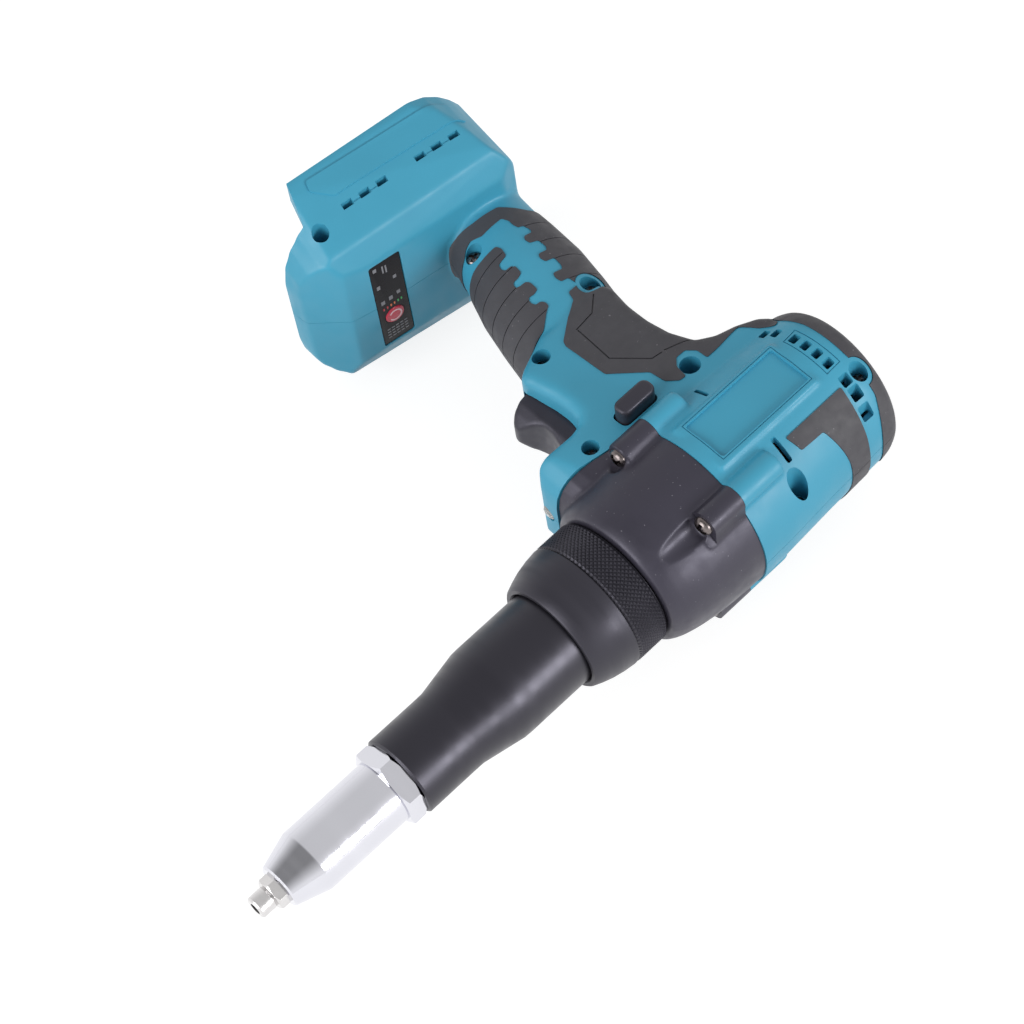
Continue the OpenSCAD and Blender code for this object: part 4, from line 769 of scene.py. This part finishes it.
# materials: noise on object coordinates, sizes in millimetres
# tone is share and size, rough is middle, spread and size, grain is size and depth
printed = {"tone": (0.06, 1), "rough": (0.4, 0.05, 1), "grain": (0.3, 0.003)}
looks = {
    # moulded ABS, spark-eroded mould: an even matt teal with a fine grain
    "tealAbs": {"color": "#3e9ab8", "tone": (0.05, 30), "rough": (0.46, 0.06, 6), "grain": (0.6, 0.012)},
    # overmoulded TPE: soft charcoal, very dull, dusty specks
    "softTpe": {"color": "#434247", "tone": (0.08, 8), "rough": (0.62, 0.08, 3), "grain": (0.5, 0.02),
        "speck": "#8c8a90"},
    # glass-filled nylon: satin dark grey with a slight flow pattern
    "caseNylon": {"color": "#302e38", "tint": "#efecff", "specular": 0.6, "tone": (0.09, 14),
        "rough": (0.42, 0.08, 5), "grain": (0.7, 0.012), "speck": "#8c8a92"},
    # moulded black ABS of the trigger and lever: smooth, lightly polished by the finger
    "controlAbs": {"color": "#2d2c33", "tint": "#efecff", "tone": (0.06, 8), "rough": (0.40, 0.08, 4),
        "grain": (0.5, 0.008)},
    # black-coated steel barrel: satin with fine turning marks
    "coatedBarrel": {"color": "#0f0e13", "tint": "#efecff", "specular": 0.7, "tone": (0.08, 10),
        "rough": (0.35, 0.06, 4), "grain": (0.35, 0.006), "stretch": (1, 0.04, 0.04)},
    # blackened steel collar: darker, a little oily
    "blackSteel": {"color": "#2a292f", "tint": "#efecff", "tone": (0.10, 8), "rough": (0.4, 0.08, 3),
        "grain": (0.3, 0.005), "stretch": (1, 0.05, 0.05)},
    # polished chrome plate on the sleeve
    "chromePlate": {"color": "#dcdce3", "tone": (0.03, 12), "rough": (0.14, 0.05, 3), "grain": (0.4, 0.003),
        "metal": 1, "stretch": (1, 0.05, 0.05)},
    # bright nickel on the nosepiece
    "brightNickel": {"color": "#d8d6d6", "tone": (0.05, 4), "rough": (0.2, 0.06, 1.5), "grain": (0.3, 0.003),
        "metal": 1},
    # zinc-plated screws; the base colour is darkened as painted shade for the recesses they sit in
    "platedScrew": {"color": "#7d7574", "tone": (0.12, 2), "rough": (0.3, 0.1, 1), "grain": (0.3, 0.006), "metal": 1},
    # machined steel of gears, shaft and jaws
    "machinedSteel": {"color": "#8f9095", "tone": (0.08, 5), "rough": (0.32, 0.08, 2), "grain": (0.3, 0.005),
        "metal": 1},
    # enamelled copper wire of the windings
    "copperWire": {"color": "#b9743c", "tone": (0.15, 1.2), "rough": (0.35, 0.08, 1.5), "grain": (0.6, 0.05),
        "metal": 1},
    # brass blades of the terminals
    "plainBrass": {"color": "#c9a452", "tone": (0.06, 4), "rough": (0.3, 0.08, 2), "grain": (0.4, 0.004), "metal": 1},
    # die-cast aluminium of the motor plate
    "castAluminium": {"color": "#b4b5b9", "tone": (0.07, 5), "rough": (0.45, 0.08, 2), "grain": (0.6, 0.02),
        "metal": 1},
    # green solder mask on glass-fibre board
    "solderMask": {"color": "#12552a", "tone": (0.12, 3), "rough": (0.35, 0.06, 2), "grain": (0.5, 0.01)},
    # black moulded nylon inside: switch, terminal block, fan
    "innerNylon": {"color": "#26252a", "tone": (0.08, 6), "rough": (0.5, 0.06, 3), "grain": (0.6, 0.015)},
    # printed polyester membrane: black, slightly glossy
    "membrane": {"color": "#141318", "specular": 0.12, "tone": (0.06, 6), "rough": (0.3, 0.06, 3),
        "grain": (0.4, 0.004)},
    # printed grey ink on the membrane
    "greyInk": {"color": "#77777d", "tone": (0.08, 2), "rough": (0.45, 0.05, 1), "grain": (0.3, 0.003)},
    # red dome of the power button
    "redDome": {"color": "#c8304a", "tone": (0.08, 3), "rough": (0.3, 0.06, 2), "grain": (0.4, 0.004)},
    # charge lights printed on the membrane
    "redInk": {"color": "#b02a35", **printed},
    "orangeInk": {"color": "#d9713f", **printed},
    "greenInk": {"color": "#2f9a55", **printed},
    # pale ink of the power symbol
    "paleInk": {"color": "#f0c9cf", "tone": (0.05, 2), "rough": (0.4, 0.05, 1), "grain": (0.3, 0.003)},
}
dustSetup = {"size": 0.9, "from": 0.74, "to": 0.80, "share": 0.5}
materials = {}
for name, look in looks.items():
    toneShare, toneSize = look["tone"]
    middle, spread, roughSize = look["rough"]
    grainSize, depth = look["grain"]
    material = bpy.data.materials.new(name)
    material.use_nodes = True
    tree = material.node_tree
    shader = tree.nodes["Principled BSDF"]
    place = addNode(tree, "ShaderNodeTexCoord").outputs["Object"]
    if "stretch" in look:
        place = addNode(tree, "ShaderNodeMapping", {"Scale": look["stretch"]}, {"Vector": place}).outputs["Vector"]
    cloud = addNode(tree, "ShaderNodeTexNoise", {"Scale": 1 / (toneSize * mm), "Detail": 4.0}, {"Vector": place})
    base = linear(look["color"])
    dark = tuple(c * (1 - 2 * toneShare) for c in base[:3]) + (1,)
    light = tuple(min(1, c * (1 + 2 * toneShare)) for c in base[:3]) + (1,)
    color = addNode(tree, "ShaderNodeMix", {"data_type": "RGBA", 6: dark, 7: light},
        {0: cloud.outputs["Fac"]}).outputs[2]
    if "speck" in look:
        dust = addNode(tree, "ShaderNodeTexNoise", {"Scale": 1 / (dustSetup["size"] * mm), "Detail": 1.0},
            {"Vector": place})
        limits = {"From Min": dustSetup["from"], "From Max": dustSetup["to"], "To Max": dustSetup["share"]}
        spot = addNode(tree, "ShaderNodeMapRange", limits, {"Value": dust.outputs["Fac"]})
        color = addNode(tree, "ShaderNodeMix", {"data_type": "RGBA", 7: linear(look["speck"])},
            {0: spot.outputs["Result"], 6: color}).outputs[2]
    tree.links.new(color, shader.inputs["Base Color"])
    patch = addNode(tree, "ShaderNodeTexNoise", {"Scale": 1 / (roughSize * mm), "Detail": 3.0}, {"Vector": place})
    limits = {"From Min": 0.3, "From Max": 0.7, "To Min": middle - spread, "To Max": middle + spread}
    rough = addNode(tree, "ShaderNodeMapRange", limits, {"Value": patch.outputs["Fac"]})
    tree.links.new(rough.outputs["Result"], shader.inputs["Roughness"])
    grain = addNode(tree, "ShaderNodeTexNoise", {"Scale": 1 / (grainSize * mm), "Detail": 2.0}, {"Vector": place})
    bump = addNode(tree, "ShaderNodeBump", {"Strength": 1.0, "Distance": depth * mm},
        {"Height": grain.outputs["Fac"]})
    tree.links.new(bump.outputs["Normal"], shader.inputs["Normal"])
    if look.get("metal"):
        shader.inputs["Metallic"].default_value = 1
    if "specular" in look:
        shader.inputs["Specular IOR Level"].default_value = look["specular"]
    if "tint" in look:
        shader.inputs["Specular Tint"].default_value = linear(look["tint"])
    materials[name] = material

# clear polycarbonate lens of the work lamp
material = bpy.data.materials.new("clearLens")
material.use_nodes = True
tree = material.node_tree
shader = tree.nodes["Principled BSDF"]
shader.inputs["Base Color"].default_value = linear("#eef0ee")
shader.inputs["IOR"].default_value = 1.58
shader.inputs["Transmission Weight"].default_value = 0.7
place = addNode(tree, "ShaderNodeTexCoord").outputs["Object"]
haze = addNode(tree, "ShaderNodeTexNoise", {"Scale": 1 / (0.8 * mm)}, {"Vector": place})
rough = addNode(tree, "ShaderNodeMapRange", {"To Min": 0.05, "To Max": 0.2}, {"Value": haze.outputs["Fac"]})
tree.links.new(rough.outputs["Result"], shader.inputs["Roughness"])
materials["clearLens"] = material
print("materials,", len(materials))


def dress(piece, material, body="tool", stands=(), angle=32):
    piece.data.materials.clear()
    piece.data.materials.append(materials[material])
    for face in piece.data.polygons:
        face.use_smooth = True
        face.material_index = 0
    piece.data.set_sharp_from_angle(angle=math.radians(angle))
    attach(piece, body)
    if stands:
        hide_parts(*stands)


for name, piece in halves.items():
    dress(piece, "tealAbs", stands=[name])
for name, piece in covers.items():
    dress(piece, "softTpe", stands=[name])
dress(gearCase, "caseNylon", stands=["gear_case"])
dress(caseScrews, "platedScrew", stands=["gear_case_screws"])
dress(housingScrews, "platedScrew", stands=["housing_screws"])
dress(collar, "blackSteel", stands=["collar"])
dress(knurl, "blackSteel", angle=5)
dress(barrel, "coatedBarrel", stands=["barrel"])
dress(sleeve, "chromePlate", stands=["nose_sleeve"], angle=7)
dress(hexFlange, "chromePlate", angle=20)
dress(noseTip, "brightNickel", stands=["nosepiece"])
dress(noseHex, "brightNickel", angle=20)
dress(trigger, "controlAbs", "trigger", ["trigger"])
dress(lever, "controlAbs", "lever", ["direction_lever"])
dress(lens, "clearLens", stands=["led_lens"])
dress(panel, "membrane", stands=["control_panel"])
dress(marks, "greyInk")
for name, piece in lights.items():
    dress(piece, name + "Ink")
dress(button, "redDome", "button", ["power_button"])
dress(buttonRing, "paleInk", "button")

# inner parts keep their solids and take a finish
innerFinish = {
    "machinedSteel": ["spindle_bearing", "thrust_washer", "ring_gear", "front_bearing", "rear_bearing", "motor_shaft",
        "rotor_core", "stator_core", "planet_1a", "planet_1b", "planet_1c", "carrier_1",
        "planet_2a", "planet_2b", "planet_2c", "carrier_2", "pulling_screw", "drive_nut", "pull_rod", "jaw_case",
        "jaw_a", "jaw_b", "jaw_c", "jaw_pusher", "jaw_spring"],
    "castAluminium": ["motor_plate"], "copperWire": ["stator_windings"], "plainBrass": ["terminal_blades"],
    "solderMask": ["hall_board", "panel_board", "control_board"],
    "innerNylon": ["cooling_fan", "trigger_switch", "terminal_block"],
}
for finish, names in innerFinish.items():
    for name in names:
        slots = nodes[name].material_slots
        if slots:
            for s in slots:
                s.material = materials[finish]
        else:
            nodes[name].data.materials.append(materials[finish])

# floor, world and lamps
stageSetup = {"floorZ": -39.6, "floorGlow": 0.8, "floorColor": 0.35, "worldSoft": 0.5, "zenith": 0.72, "behind": 0.28,
    "target": (-0.12, -0.04, 0)}
# place, size and power
lampSetup = {"keyLamp": ((-0.45, 1.05, 0.32), (0.7, 0.4), 8), "sideLamp": ((0.9, -0.1, 0.5), (0.8, 0.8), 9)}
f = stageSetup
bm = bmesh.new()
bmesh.ops.create_grid(bm, x_segments=1, y_segments=1, size=4000)
bmesh.ops.translate(bm, vec=(0, 0, f["floorZ"]), verts=bm.verts)
floor = newPiece("floor", bm)
material = bpy.data.materials.new("paleFloor")
material.use_nodes = True
tree = material.node_tree
shader = tree.nodes["Principled BSDF"]
shader.inputs["Base Color"].default_value = (f["floorColor"],) * 3 + (1,)
shader.inputs["Roughness"].default_value = 1
shader.inputs["Specular IOR Level"].default_value = 0
shader.inputs["Emission Color"].default_value = (1, 1, 1, 1)
glow = addNode(tree, "ShaderNodeMath", {"operation": "MULTIPLY", 1: f["floorGlow"]}, {0: seenRays(tree)})
tree.links.new(glow.outputs[0], shader.inputs["Emission Strength"])
floor.data.materials.append(material)

world = bpy.data.worlds.new("studio")
scene.world = world
world.use_nodes = True
tree = world.node_tree
background = tree.nodes["Background"]
background.inputs["Color"].default_value = (1, 1, 1, 1)
# rays that see the background find it white at the horizon, greyer overhead and dark on the studio's unlit side
way = addNode(tree, "ShaderNodeSeparateXYZ", {}, {0: addNode(tree, "ShaderNodeTexCoord").outputs["Generated"]})
limits = {"From Min": -0.05, "From Max": 0.25, "To Min": f["zenith"], "To Max": f["behind"]}
overhead = addNode(tree, "ShaderNodeMapRange", limits, {"Value": way.outputs["X"]})
limits = {"From Min": 0.15, "From Max": 0.8, "To Min": 1.0}
graded = addNode(tree, "ShaderNodeMapRange", limits, {"Value": way.outputs["Z"],
        "To Max": overhead.outputs["Result"]})
level = addNode(tree, "ShaderNodeMix", {2: f["worldSoft"]}, {0: seenRays(tree), 3: graded.outputs["Result"]})
tree.links.new(level.outputs[0], background.inputs["Strength"])


def softLamp(name, place, target, size, power):
    lamp = bpy.data.objects.new(name, bpy.data.lights.new(name, "AREA"))
    lamp.data.shape = "RECTANGLE"
    lamp.data.size, lamp.data.size_y = size
    lamp.data.energy = power
    way = Vector(target) - Vector(place)
    lamp.matrix_world = Matrix.Translation(place) @ way.to_track_quat("-Z", "Y").to_matrix().to_4x4()
    scene.collection.objects.link(lamp)


for name, (place, size, power) in lampSetup.items():
    softLamp(name, place, f["target"], size, power)
print("stage set")
